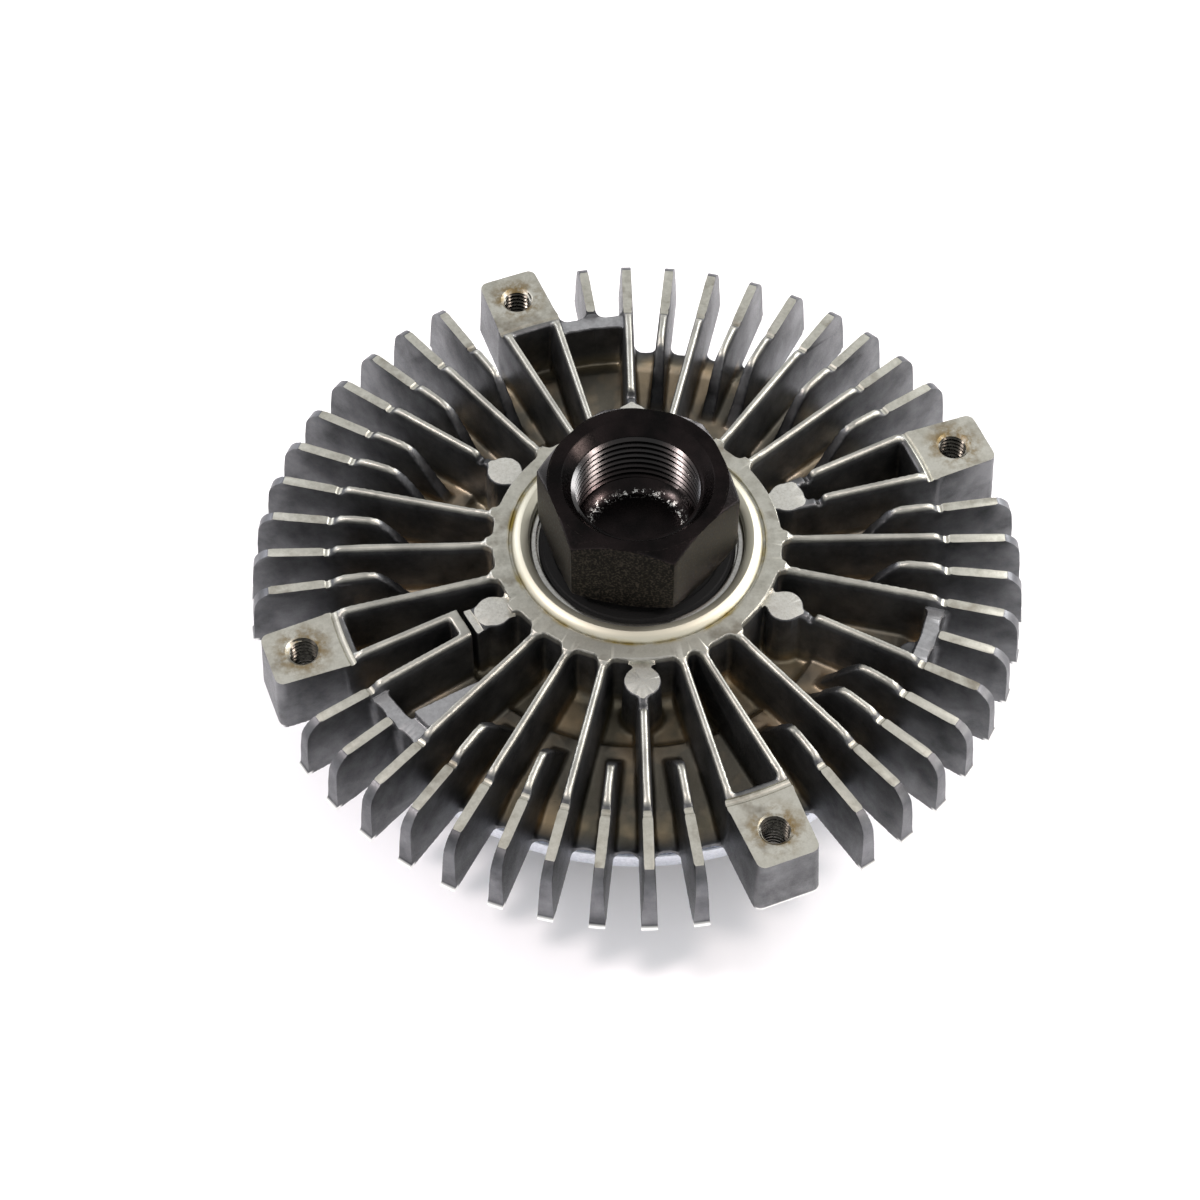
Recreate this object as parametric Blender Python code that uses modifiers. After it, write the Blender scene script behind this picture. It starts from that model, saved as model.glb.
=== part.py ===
# Viscous fan clutch: finned aluminium coupling with a hexagon hub nut,
# a sealed ball bearing, a grooved rotor and a bimetal-controlled valve.
# Metres, +Z along the spin axis towards the nut, origin on the rest plane.

import math

import bmesh
import bpy
from mathutils import Matrix, Vector

MM = 0.001

# General clearances
FIT_GAP = 0.25 * MM
SEAT_GAP = 0.3 * MM

# Front cover, measured up from the rest plane
COVER_FIN_HEIGHT = 9.8 * MM
COVER_WALL = 3.0 * MM
COVER_FACE_WIDTH = 18.2 * MM
COVER_FLANGE_STEP = 2.2 * MM
COVER_SIDE_WALL = 2.0 * MM
COVER_EDGE_TAPER = 3.0 * MM
COVER_FLANGE_HEIGHT = 3.5 * MM
COVER_FIN_COUNT = 24
COVER_FIN_THICKNESS = 2.2 * MM
COVER_FIN_TIP_TAPER = 6.0 * MM
COLLAR_MARGIN = 1.2 * MM
COLLAR_WALL = 3.0 * MM
COVER_FIN_ROOT_SPAN = 8.0 * MM
RESERVOIR_INSET = 9.0 * MM
RESERVOIR_WALL = 2.6 * MM
DOME_DROP = 4.0 * MM
DOME_SLOPE = 3.0 * MM

# Labyrinth between rotor and cover
RUN_GAP = 0.6 * MM
LAND_HEIGHT = 3.0 * MM
LAND_WIDTH = 2.4 * MM
LAND_SIDE_GAP = 0.5 * MM
LAND_COUNT = 3
FIRST_LAND_MARGIN = 4.9 * MM
LAST_LAND_MARGIN = 0.3 * MM

# Rotor
ROTOR_SIDE_GAP = 2.4 * MM
ROTOR_THICKNESS = 6.4 * MM
ROTOR_HUB_WALL = 3.5 * MM
ROTOR_PORT_COUNT = 4
ROTOR_PORT_R = 2.4 * MM
ROTOR_PORT_INSET = 2.0 * MM

# Cover seal
SEAL_CORD_R = 0.65 * MM
SEAL_REBATE_WIDTH = 1.8 * MM
SEAL_REBATE_HEIGHT = 1.7 * MM

# Rear housing
ROOF_GAP = 1.0 * MM
HOUSING_WALL = 2.8 * MM
FLOOR_STEP = 1.4 * MM
FLOOR_STEP_WIDTH = 9.5 * MM
FIN_DEPTH = 10.8 * MM
RIM_WALL = 2.7 * MM
RIM_BAND_STEP = 0.3 * MM
RIM_BAND_HEIGHT = 3.1 * MM
RIM_POCKET_FILLET = 2.0 * MM
LEDGE_WIDTH = 2.9 * MM
RING_WIDTH = 6.5 * MM
RING_RISE = 2.2 * MM
LIP_WIDTH = 3.1 * MM
BEARING_SHOULDER = 2.6 * MM
LIP_OVERHANG = 0.3 * MM
LIP_RISE = 1.2 * MM

# Fins of the rear housing
FIN_PITCH_DEG = 7.2
BOSS_ANGLE_DEG = 20.83
FINS_BETWEEN_BOSSES = 10
FIN_TOP_THICKNESS = 1.8 * MM
FIN_DRAFT_DEG = 2.37
FIN_REACH = 15.1 * MM
FIN_FOOT_DROP = 13.3 * MM
FIN_CORNER_R = 4.4 * MM
FIN_TOE = 0.9 * MM
FIN_FLASH = 0.5 * MM
FIN_CAST_RISE = 1.3 * MM
NOTCH_DEPTH = 0.3 * MM
SHORT_FIN_SETBACK = 3.0 * MM
SHORT_FIN_NOSE = 10.4 * MM
WEB_DROP = 0.3 * MM

# Fan bosses
BOSS_SETBACK = 0.2 * MM
BOSS_HOLE_INSET = 7.2 * MM
BOSS_LENGTH = 13.9 * MM
BOSS_INNER_HALF = 6.1 * MM
BOSS_OUTER_HALF = 5.6 * MM
BOSS_DRAFT = 0.8 * MM
BOSS_CORNER = 1.3 * MM
BOSS_SILL = 1.5 * MM
BOSS_THREAD_R = 2.5 * MM
BOSS_THREAD_MOUTH_R = 3.25 * MM
RIB_RING_HALF = 1.9 * MM
RIB_SHOULDER = 4.0 * MM
RIB_ANGLE_DEG = 4.64

# Ejector posts round the ring
POST_OFFSET = 3.5 * MM
POST_TOP_R = 3.35 * MM
POST_DRAFT = 0.4 * MM
POST_RISE = 0.4 * MM
POST_NOTCH_OFFSET = 5.8 * MM

# Ball bearing
BEARING_OUTER_R = 20.0 * MM
BEARING_SECTION = 11.5 * MM
BEARING_WIDTH = 12.0 * MM
BEARING_RISE = 1.5 * MM
BALL_COUNT = 8
BALL_SHARE = 0.2934
RACE_GAP = 0.22 * MM
SHOULDER_HEIGHT = 3.7 * MM
SHIELD_SEAT_INSET = 1.6 * MM
SHIELD_THICKNESS = 0.9 * MM
SHIELD_RECESS = 0.3 * MM
CAGE_WALL = 1.8 * MM

# Hub shaft
NUT_ACROSS_FLATS = 32.0 * MM
NUT_FOOT_RISE = 3.4 * MM
NUT_FLOOR = 0.9 * MM
NUT_CHAMFER_R = 16.2 * MM
NUT_CORNER_DEG = 49.5
THREAD_R = 11.2 * MM
THREAD_MOUTH_R = 13.7 * MM
THREAD_MOUTH_DEPTH = 2.3 * MM
THREAD_DEPTH = 15.6 * MM
SHAFT_NECK_STEP = 2.9 * MM
SPLINE_STEP = 0.9 * MM
RIVET_HEAD_STEP = 1.8 * MM
RIVET_HEAD_HEIGHT = 1.4 * MM

# Valve and bimetal spiral
PLATE_THICKNESS = 0.9 * MM
PLATE_SEAT_WIDTH = 2.6 * MM
PORT_R = 2.4 * MM
PORT_INSET = 7.0 * MM
ARM_THICKNESS = 0.5 * MM
ARM_WIDTH = 6.0 * MM
ARM_PADDLE_R = 4.4 * MM
VALVE_SHAFT_R = 2.4 * MM
VALVE_SPIGOT_R = 1.6 * MM
VALVE_HUB_R = 6.6 * MM
VALVE_HUB_HEIGHT = 3.0 * MM
VALVE_RING_CORD_R = 0.72 * MM
STRIP_THICKNESS = 0.8 * MM
STRIP_WIDTH = 4.4 * MM
STRIP_FLOOR_GAP = 0.8 * MM
SPIRAL_START_R = 3.6 * MM
SPIRAL_PITCH = 3.3 * MM
SPIRAL_TURNS = 4
ANCHOR_LENGTH = 2.6 * MM
ANCHOR_CHEEK = 1.6 * MM
WIPER_THICKNESS = 1.5 * MM
WIPER_LENGTH = 8.0 * MM
WIPER_HEIGHT = 5.0 * MM

# Facet counts
FACET_COUNT_LARGE = 36
FACET_COUNT_MEDIUM = 28
FACET_COUNT_SMALL = 12
MERGE = 0.00001

# Levels that follow from the stack, from the rest plane up
cover_face_z = COVER_FIN_HEIGHT
groove_floor_z = cover_face_z + COVER_WALL
cover_land_z = groove_floor_z + LAND_HEIGHT
rotor_tip_z = groove_floor_z + RUN_GAP
rotor_under_z = rotor_tip_z + LAND_HEIGHT
rotor_top_z = rotor_under_z + ROTOR_THICKNESS
roof_z = rotor_top_z + ROOF_GAP
seat_z = roof_z - SEAT_GAP - FIT_GAP
floor_z = roof_z + HOUSING_WALL
plane_z = floor_z + FIN_DEPTH
foot_z = plane_z - FIN_FOOT_DROP
bearing_top_z = plane_z + BEARING_RISE
bearing_bottom_z = bearing_top_z - BEARING_WIDTH
nut_foot_z = plane_z + NUT_FOOT_RISE
bore_floor_z = nut_foot_z + NUT_FLOOR
nut_top_z = bore_floor_z + THREAD_DEPTH
ball_z = bearing_top_z - BEARING_WIDTH / 2
flange_top_z = seat_z - SEAT_GAP
flange_under_z = flange_top_z - COVER_FLANGE_HEIGHT
dome_face_z = cover_face_z - DOME_DROP
reservoir_floor_z = dome_face_z + RESERVOIR_WALL
plate_under_z = groove_floor_z + FIT_GAP
arm_top_z = plate_under_z - SEAT_GAP
arm_under_z = arm_top_z - ARM_THICKNESS
strip_under_z = STRIP_FLOOR_GAP
strip_top_z = strip_under_z + STRIP_WIDTH
bearing_bore_r = BEARING_OUTER_R - BEARING_SECTION
ball_circle_r = BEARING_OUTER_R - BEARING_SECTION / 2
ball_r = BEARING_SECTION * BALL_SHARE
outer_shoulder_r = BEARING_OUTER_R - SHOULDER_HEIGHT
inner_shoulder_r = bearing_bore_r + SHOULDER_HEIGHT
shield_seat_r = BEARING_OUTER_R - SHIELD_SEAT_INSET
spline_r = bearing_bore_r - SPLINE_STEP
neck_r = bearing_bore_r + SHAFT_NECK_STEP
rivet_head_r = spline_r + RIVET_HEAD_STEP
rotor_hub_r = bearing_bore_r + ROTOR_HUB_WALL
ring_r = BEARING_OUTER_R + RING_WIDTH
lip_r = BEARING_OUTER_R + LIP_WIDTH
post_circle_r = ring_r + POST_OFFSET
post_notch_r = post_circle_r + POST_NOTCH_OFFSET
floor_step_r = ring_r + FLOOR_STEP_WIDTH
reservoir_r = floor_step_r - RESERVOIR_INSET
port_circle_r = reservoir_r - PORT_INSET
cover_flange_r = floor_step_r + COVER_FACE_WIDTH
cover_body_r = cover_flange_r - COVER_FLANGE_STEP
cover_inner_r = cover_body_r - COVER_SIDE_WALL
rotor_r = cover_inner_r - ROTOR_SIDE_GAP
first_land_r = reservoir_r + PLATE_SEAT_WIDTH + FIRST_LAND_MARGIN
last_land_r = rotor_r - LAST_LAND_MARGIN - LAND_WIDTH / 2
land_pitch = (last_land_r - first_land_r) / (LAND_COUNT - 1)
rim_inner_r = cover_flange_r + SEAT_GAP
rim_r = rim_inner_r + RIM_WALL
rim_band_r = rim_r + RIM_BAND_STEP
fin_foot_r = rim_r + FIN_REACH
web_inner_r = rim_r - LEDGE_WIDTH
boss_inner_r = rim_r - BOSS_SETBACK
boss_outer_r = boss_inner_r + BOSS_LENGTH
boss_circle_r = boss_inner_r + BOSS_HOLE_INSET
short_fin_foot_r = floor_step_r + SHORT_FIN_SETBACK
short_fin_peak_r = short_fin_foot_r + SHORT_FIN_NOSE
spiral_end_r = SPIRAL_START_R + SPIRAL_PITCH * SPIRAL_TURNS
collar_inner_r = spiral_end_r + ANCHOR_LENGTH + COLLAR_MARGIN
tan_draft = math.tan(math.radians(FIN_DRAFT_DEG))

# Which fins reach the ring, which stop half way and which grow from a web
LONG_FINS = (0, 2, 5, 7, 12, 14, 16, 19, 24, 26, 28, 30, 32, 36, 38, 41, 43)
WEB_FINS = (47, 15, 31)
POST_FINS = (0, 16, 24, 41)
LOOP_FIN = 32
SLOTS_PER_QUADRANT = FINS_BETWEEN_BOSSES + 2
FIRST_GAP_SLOT = FINS_BETWEEN_BOSSES - 1
FIRST_MIDDLE_SLOT = FIRST_GAP_SLOT - (FINS_BETWEEN_BOSSES + 1) / 2
ROUND_BOSS_RIGHT = 0
ROUND_BOSS_LEFT = 2


def clear_scene():
    for obj in list(bpy.data.objects):
        bpy.data.objects.remove(obj, do_unlink=True)
    for collection in list(bpy.data.collections):
        bpy.data.collections.remove(collection)


def make_collection(name):
    collection = bpy.data.collections.new(name)
    bpy.context.scene.collection.children.link(collection)
    return collection


clear_scene()
parts = make_collection("viscous_fan_clutch")
cutters = make_collection("cutters")


def make_material(name, colour, roughness, metallic):
    material = bpy.data.materials.new(name)
    material.use_nodes = True
    shader = material.node_tree.nodes["Principled BSDF"]
    shader.inputs["Base Color"].default_value = (*colour, 1.0)
    shader.inputs["Roughness"].default_value = roughness
    shader.inputs["Metallic"].default_value = metallic
    return material


def add_part(name, mesh, material):
    obj = bpy.data.objects.new(name, mesh)
    parts.objects.link(obj)
    obj.data.materials.append(material)
    return obj


def add_cutter(name, mesh):
    obj = bpy.data.objects.new(name, mesh)
    cutters.objects.link(obj)
    obj.hide_render = True
    obj.display_type = "WIRE"
    return obj


def profile_mesh(name, profile):
    # A closed outline of (radius, height) points, outer side running down
    bm = bmesh.new()
    verts = [bm.verts.new((radius, 0.0, height)) for radius, height in profile]
    for index, vert in enumerate(verts):
        bm.edges.new((vert, verts[(index + 1) % len(verts)]))
    mesh = bpy.data.meshes.new(name)
    bm.to_mesh(mesh)
    bm.free()
    return mesh


def add_screw(obj, segments):
    screw = obj.modifiers.new("turn", "SCREW")
    screw.steps = segments
    screw.render_steps = segments
    screw.use_merge_vertices = True
    screw.merge_threshold = MERGE
    screw.use_smooth_shade = True


def turned_part(name, profile, segments, material):
    obj = add_part(name, profile_mesh(name, profile), material)
    add_screw(obj, segments)
    return obj


def turned_cutter(name, profile, segments):
    obj = add_cutter(name, profile_mesh(name, profile))
    add_screw(obj, segments)
    return obj


def add_boolean(obj, other, operation):
    boolean = obj.modifiers.new(other.name, "BOOLEAN")
    boolean.operation = operation
    boolean.object = other
    boolean.solver = "EXACT"


def baked_mesh(obj):
    # The evaluated shape as a mesh with its caps welded
    depsgraph = bpy.context.evaluated_depsgraph_get()
    mesh = bpy.data.meshes.new_from_object(obj.evaluated_get(depsgraph))
    bm = bmesh.new()
    bm.from_mesh(mesh)
    bmesh.ops.remove_doubles(bm, verts=bm.verts, dist=MERGE / 10)
    bmesh.ops.recalc_face_normals(bm, faces=bm.faces)
    bm.to_mesh(mesh)
    bm.free()
    return mesh


def outline_mesh(name, outlines, half_thickness):
    # Flat outlines, holes among them, thickened equally both ways along Z
    curve = bpy.data.curves.new(name, "CURVE")
    curve.dimensions = "2D"
    curve.fill_mode = "BOTH"
    curve.extrude = half_thickness
    for outline in outlines:
        spline = curve.splines.new("POLY")
        spline.points.add(len(outline) - 1)
        spline.use_cyclic_u = True
        for point, (x, y) in zip(spline.points, outline):
            point.co = (x, y, 0.0, 1.0)
    obj = bpy.data.objects.new(name, curve)
    cutters.objects.link(obj)
    mesh = baked_mesh(obj)
    bpy.data.objects.remove(obj, do_unlink=True)
    bpy.data.curves.remove(curve)
    return mesh


def slab_mesh(name, outlines, low_z, high_z):
    mesh = outline_mesh(name, outlines, (high_z - low_z) / 2)
    mesh.transform(Matrix.Translation((0.0, 0.0, (high_z + low_z) / 2)))
    return mesh


def gathered_mesh(name, placed):
    # Several closed shapes that do not touch, as one mesh
    bm = bmesh.new()
    for mesh, matrix in placed:
        first = len(bm.verts)
        bm.from_mesh(mesh)
        bm.verts.ensure_lookup_table()
        bmesh.ops.transform(bm, matrix=matrix, verts=bm.verts[first:])
    joined = bpy.data.meshes.new(name)
    bm.to_mesh(joined)
    bm.free()
    return joined


def turn(degrees):
    return Matrix.Rotation(math.radians(degrees), 4, "Z")


def circle_points(radius, count, centre=(0.0, 0.0)):
    step = 2 * math.pi / count
    return [(centre[0] + radius * math.cos(step * i), centre[1] + radius * math.sin(step * i))
            for i in range(count)]


def arc_points(centre, radius, start_deg, end_deg, count):
    points = []
    for i in range(count + 1):
        angle = math.radians(start_deg + (end_deg - start_deg) * i / count)
        points.append((centre[0] + radius * math.cos(angle), centre[1] + radius * math.sin(angle)))
    return points


def turned_point(point, degrees):
    angle = math.radians(degrees)
    x = point[0] * math.cos(angle) - point[1] * math.sin(angle)
    y = point[0] * math.sin(angle) + point[1] * math.cos(angle)
    return (x, y)


def slot_angle(slot):
    # Slots run clockwise; each quadrant of fins is centred between two bosses
    quadrant = round((slot % (4 * SLOTS_PER_QUADRANT) - FIRST_MIDDLE_SLOT) / SLOTS_PER_QUADRANT)
    middle = FIRST_MIDDLE_SLOT + SLOTS_PER_QUADRANT * quadrant
    place = slot % (4 * SLOTS_PER_QUADRANT) - middle
    return BOSS_ANGLE_DEG + 45.0 - 90.0 * quadrant - FIN_PITCH_DEG * place


def fin_half(height):
    return FIN_TOP_THICKNESS / 2 + (plane_z - height) * tan_draft


def drafted_fin_mesh(name, outline):
    # Outline in radius and height, thickened and then drafted towards its foot
    half = fin_half(plane_z)
    mesh = outline_mesh(name, [outline], half)
    mesh.transform(Matrix.Rotation(math.radians(90.0), 4, "X"))
    for vert in mesh.vertices:
        vert.co.y *= fin_half(vert.co.z) / half
    return mesh


def fin_outer_points():
    # From the notch out along the machined top, round the corner, down to the foot
    top_end_r = fin_foot_r - FIN_FLASH - FIN_TOE - FIN_CORNER_R
    corner = arc_points((top_end_r, plane_z - FIN_CORNER_R), FIN_CORNER_R, 90.0, 8.0, 2)
    cast_z = plane_z + FIN_CAST_RISE
    points = [(rim_r - 2.3 * MM, cast_z),
              (rim_r - 0.3 * MM, plane_z - NOTCH_DEPTH),
              (rim_r + 0.5 * MM, plane_z)]
    points += corner
    points += [(fin_foot_r - FIN_FLASH, foot_z + FIN_FLASH * 1.6), (fin_foot_r, foot_z)]
    return points


def fin_root_points():
    # Along the underside of the overhang and inside the wall, back to the ring
    buried_z = (roof_z + floor_z) / 2
    return [(rim_r - 0.6 * MM, foot_z),
            (rim_r - 1.6 * MM, foot_z - 0.3 * MM),
            (rim_inner_r - 1.5 * MM, buried_z - 0.6 * MM),
            (floor_step_r + 3.0 * MM, buried_z)]


def long_fin_outline(inner_r):
    ring_top = plane_z + RING_RISE - 0.35 * MM
    return [(inner_r, floor_z - FLOOR_STEP - HOUSING_WALL / 2), (inner_r, ring_top)
            ] + fin_outer_points() + fin_root_points() + [
            (floor_step_r - 1.0 * MM, floor_z - FLOOR_STEP - HOUSING_WALL / 2)]


def post_fin_outline():
    # A long fin whose top is cut by a notch and a low link to its post
    link_z = plane_z + POST_RISE - 0.3 * MM
    cast_z = plane_z + FIN_CAST_RISE
    return [(post_circle_r, floor_z - FLOOR_STEP - HOUSING_WALL / 2), (post_circle_r, link_z),
            (post_notch_r - 0.9 * MM, link_z), (post_notch_r - 0.5 * MM, link_z - 0.9 * MM),
            (post_notch_r, link_z - 0.9 * MM), (post_notch_r + 0.5 * MM, cast_z)
            ] + fin_outer_points() + fin_root_points() + [
            (floor_step_r - 1.0 * MM, floor_z - FLOOR_STEP - HOUSING_WALL / 2)]


def short_fin_outline():
    cast_z = plane_z + FIN_CAST_RISE
    nose_r = short_fin_peak_r - short_fin_foot_r
    fall = cast_z - floor_z
    nose = [(short_fin_foot_r + nose_r * across, cast_z - fall * down)
            for across, down in ((0.0, 1.0), (0.46, 0.5), (0.8, 0.13), (1.0, 0.0))]
    return ([(short_fin_foot_r - 0.4 * MM, floor_z - 1.0 * MM)] + nose + fin_outer_points()
            + fin_root_points()[:3])


def loop_fin_outline():
    # The fin that closes a narrow loop with the rib beside it stops short of the ring
    return ([(post_notch_r + 1.0 * MM, floor_z - FLOOR_STEP - HOUSING_WALL / 2),
             (post_notch_r + 1.0 * MM, plane_z + FIN_CAST_RISE)] + fin_outer_points() + fin_root_points())


def web_fin_outline():
    low_z = plane_z - WEB_DROP - 0.2 * MM
    return [(web_inner_r + 1.5 * MM, foot_z + 0.6 * MM), (web_inner_r + 1.5 * MM, low_z),
            (rim_r + 0.1 * MM, low_z)] + fin_outer_points()[2:] + [(rim_r - 0.6 * MM, foot_z)]


def housing_fins():
    long_mesh = drafted_fin_mesh("long_fin", long_fin_outline(ring_r - 1.9 * MM))
    post_mesh = drafted_fin_mesh("post_fin", post_fin_outline())
    short_mesh = drafted_fin_mesh("short_fin", short_fin_outline())
    loop_mesh = drafted_fin_mesh("loop_fin", loop_fin_outline())
    web_mesh = drafted_fin_mesh("web_fin", web_fin_outline())
    placed = []
    for slot in range(4 * SLOTS_PER_QUADRANT):
        place = (slot - FIRST_GAP_SLOT) % SLOTS_PER_QUADRANT
        if place < 2:
            continue
        mesh = short_mesh
        if slot in LONG_FINS:
            mesh = long_mesh
        if slot in POST_FINS:
            mesh = post_mesh
        if slot == LOOP_FIN:
            mesh = loop_mesh
        if slot in WEB_FINS:
            mesh = web_mesh
        placed.append((mesh, turn(slot_angle(slot))))
    return gathered_mesh("housing_fins", placed)


def rib_mesh(side, inner_x, to_post=False):
    # A rib from the ring to a boss corner, in the boss's own frame with X outward
    slope = (BOSS_INNER_HALF - FIN_TOP_THICKNESS / 2 - RIB_RING_HALF) / (boss_inner_r - ring_r)
    lateral = RIB_RING_HALF + slope * (inner_x - ring_r)
    lean = math.atan(slope)
    length = (boss_inner_r + BOSS_SILL - inner_x) / math.cos(lean)
    top = plane_z + FIN_CAST_RISE
    rise = RING_RISE - 0.35 * MM if inner_x < ring_r else FIN_CAST_RISE
    start = [(0.0, plane_z + rise), (RIB_SHOULDER, plane_z + (rise + FIN_CAST_RISE) / 2)]
    if to_post:
        notch_x = post_notch_r - inner_x
        link_z = plane_z + POST_RISE - 0.3 * MM
        start = [(0.0, link_z), (notch_x - 0.9 * MM, link_z), (notch_x - 0.5 * MM, link_z - 0.9 * MM),
                 (notch_x, link_z - 0.9 * MM), (notch_x + 0.5 * MM, top)]
    outline = [(0.0, floor_z - FLOOR_STEP - HOUSING_WALL / 2)] + start + [(length - 3.6 * MM, top),
               (length - 2.4 * MM, plane_z + FIN_CAST_RISE * 0.3), (length, plane_z + FIN_CAST_RISE * 0.3),
               (length, floor_z - 1.0 * MM), (floor_step_r + 3.0 * MM - inner_x, floor_z - 1.0 * MM),
               (floor_step_r - inner_x - 1.0 * MM, floor_z - FLOOR_STEP - HOUSING_WALL / 2)]
    mesh = drafted_fin_mesh("rib", outline)
    mesh.transform(Matrix.Translation((inner_x, side * lateral, 0.0))
                   @ Matrix.Rotation(side * lean, 4, "Z"))
    return mesh


def housing_ribs():
    placed = []
    for index in range(4):
        matrix = turn(BOSS_ANGLE_DEG - 90.0 * index)
        for side in (-1, 1):
            inner_x = ring_r - 1.7 * MM
            if index == ROUND_BOSS_LEFT and side == 1:
                inner_x = post_notch_r
            to_post = index == ROUND_BOSS_RIGHT
            if to_post:
                inner_x = post_circle_r
            placed.append((rib_mesh(side, inner_x, to_post), matrix))
    return gathered_mesh("housing_ribs", placed)


def boss_outline(grow):
    # Rounded trapezium, X outward, grown sideways and outward by the draft
    inner = boss_inner_r
    outer = boss_outer_r + grow
    half_in = BOSS_INNER_HALF + grow * 0.4
    half_out = BOSS_OUTER_HALF + grow * 0.6
    cut = BOSS_CORNER
    return [(inner, -half_in), (outer - cut, -half_out), (outer - cut * 0.3, -half_out + cut * 0.3),
            (outer, -half_out + cut), (outer, half_out - cut), (outer - cut * 0.3, half_out - cut * 0.3),
            (outer - cut, half_out), (inner, half_in)]


def boss_mesh():
    # The pad is drafted: its foot outline is larger than its top outline
    low = boss_outline(BOSS_DRAFT)
    high = boss_outline(0.0)
    mesh = slab_mesh("boss", [high], foot_z - 0.12 * MM, plane_z)
    for vert in mesh.vertices:
        if vert.co.z < plane_z - FIN_DEPTH / 2:
            nearest = min(range(len(high)), key=lambda i: (Vector(high[i]) - vert.co.xy).length)
            vert.co.x = low[nearest][0]
            vert.co.y = low[nearest][1]
    return mesh


def sill_mesh():
    # The cast wall behind the machined pad that joins the two ribs
    inner = boss_inner_r - BOSS_SILL
    outer = boss_inner_r + 0.6 * MM
    half = BOSS_INNER_HALF - 0.35 * MM
    outline = [(inner, -half), (outer, -half), (outer, half), (inner, half)]
    return slab_mesh("sill", [outline], floor_z - 1.1 * MM, plane_z + FIN_CAST_RISE * 0.25)


def housing_bosses():
    boss = boss_mesh()
    placed = [(boss, turn(BOSS_ANGLE_DEG - 90.0 * index)) for index in range(4)]
    return gathered_mesh("housing_bosses", placed)


def housing_sills():
    sill = sill_mesh()
    placed = [(sill, turn(BOSS_ANGLE_DEG - 90.0 * index)) for index in range(4)]
    return gathered_mesh("housing_sills", placed)


def post_angles():
    boss_left = BOSS_ANGLE_DEG - 180.0
    loop_middle = (slot_angle(LOOP_FIN) + boss_left + RIB_ANGLE_DEG) / 2
    return [slot_angle(slot) for slot in POST_FINS] + [BOSS_ANGLE_DEG, loop_middle]


def post_mesh():
    low_z = floor_z - FLOOR_STEP - HOUSING_WALL / 3
    mesh = slab_mesh("post", [circle_points(POST_TOP_R, FACET_COUNT_SMALL)], low_z, plane_z + POST_RISE)
    for vert in mesh.vertices:
        if vert.co.z < floor_z:
            vert.co.xy = vert.co.xy * (1.0 + POST_DRAFT / POST_TOP_R)
    mesh.transform(Matrix.Translation((post_circle_r, 0.0, 0.0)))
    return mesh


def housing_posts():
    post = post_mesh()
    return gathered_mesh("housing_posts", [(post, turn(angle)) for angle in post_angles()])


def post_links():
    # Low stubs from every post to the ring and the pad that closes the narrow loop
    low_z = floor_z - FLOOR_STEP - HOUSING_WALL / 2
    stub_half = 1.1 * MM
    stub = [(ring_r - 1.2 * MM, -stub_half), (post_circle_r - 1.0 * MM, -stub_half),
            (post_circle_r - 1.0 * MM, stub_half), (ring_r - 1.2 * MM, stub_half)]
    stub_mesh = slab_mesh("stub", [stub], low_z, plane_z - 0.6 * MM)
    placed = [(stub_mesh, turn(angle)) for angle in post_angles()]
    loop_angle = post_angles()[-1]
    pad_half = 2.7 * MM
    pad = [(post_circle_r + 1.5 * MM, -pad_half + 0.6 * MM), (post_notch_r - 0.6 * MM, -pad_half),
           (post_notch_r - 0.6 * MM, pad_half), (post_circle_r + 1.5 * MM, pad_half - 0.6 * MM)]
    placed.append((slab_mesh("pad", [pad], low_z, plane_z - 0.1 * MM), turn(loop_angle)))
    end_r = post_notch_r + 0.25 * MM
    end = [(end_r, -pad_half - 0.2 * MM), (end_r + 2.0 * MM, -pad_half - 0.2 * MM),
           (end_r + 2.0 * MM, pad_half + 0.2 * MM), (end_r, pad_half + 0.2 * MM)]
    end_mesh = slab_mesh("loop_end", [end], low_z, plane_z + FIN_CAST_RISE - 0.15 * MM)
    placed.append((end_mesh, turn(loop_angle)))
    return gathered_mesh("post_links", placed)


def pocket_points(left_deg, left_half, right_deg, right_half, radius, fillet):
    # The rounded inner end of the gap between two fins, from the left one clockwise
    points = []
    for degrees, half, side in ((left_deg, left_half, -1), (right_deg, right_half, 1)):
        lateral = half + fillet
        centre_x = math.sqrt((radius + fillet) ** 2 - lateral ** 2)
        wall_deg = 180.0 - math.degrees(math.asin(lateral / (radius + fillet)))
        arc = arc_points((centre_x, side * lateral), fillet, -90.0 * side, -wall_deg * side, 2)
        if side > 0:
            arc.reverse()
        points += [turned_point(point, degrees) for point in arc]
    return points


def rim_members():
    # Every fin and boss that crosses the rim, clockwise, with its half width there
    half = fin_half(foot_z) - 0.12 * MM
    members = []
    for slot in range(4 * SLOTS_PER_QUADRANT):
        place = (slot - FIRST_GAP_SLOT) % SLOTS_PER_QUADRANT
        if place == 0:
            members.append((slot_angle(slot - 1) - (90.0 - FIN_PITCH_DEG * (FINS_BETWEEN_BOSSES - 1)) / 2,
                            BOSS_INNER_HALF - 0.1 * MM))
        elif place > 1:
            members.append((slot_angle(slot), half))
    return members


def rim_ledge_mesh():
    # The lower edge of the casting, scalloped between the fins
    members = rim_members()
    outline = []
    for index, (degrees, half) in enumerate(members):
        next_deg, next_half = members[(index + 1) % len(members)]
        outline += pocket_points(degrees, half, next_deg, next_half, rim_r, RIM_POCKET_FILLET)
    inner = circle_points(rim_inner_r - 1.7 * MM, FACET_COUNT_MEDIUM)
    return slab_mesh("rim_ledge", [outline, inner], foot_z + 0.12 * MM, foot_z + 0.8 * MM)


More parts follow.
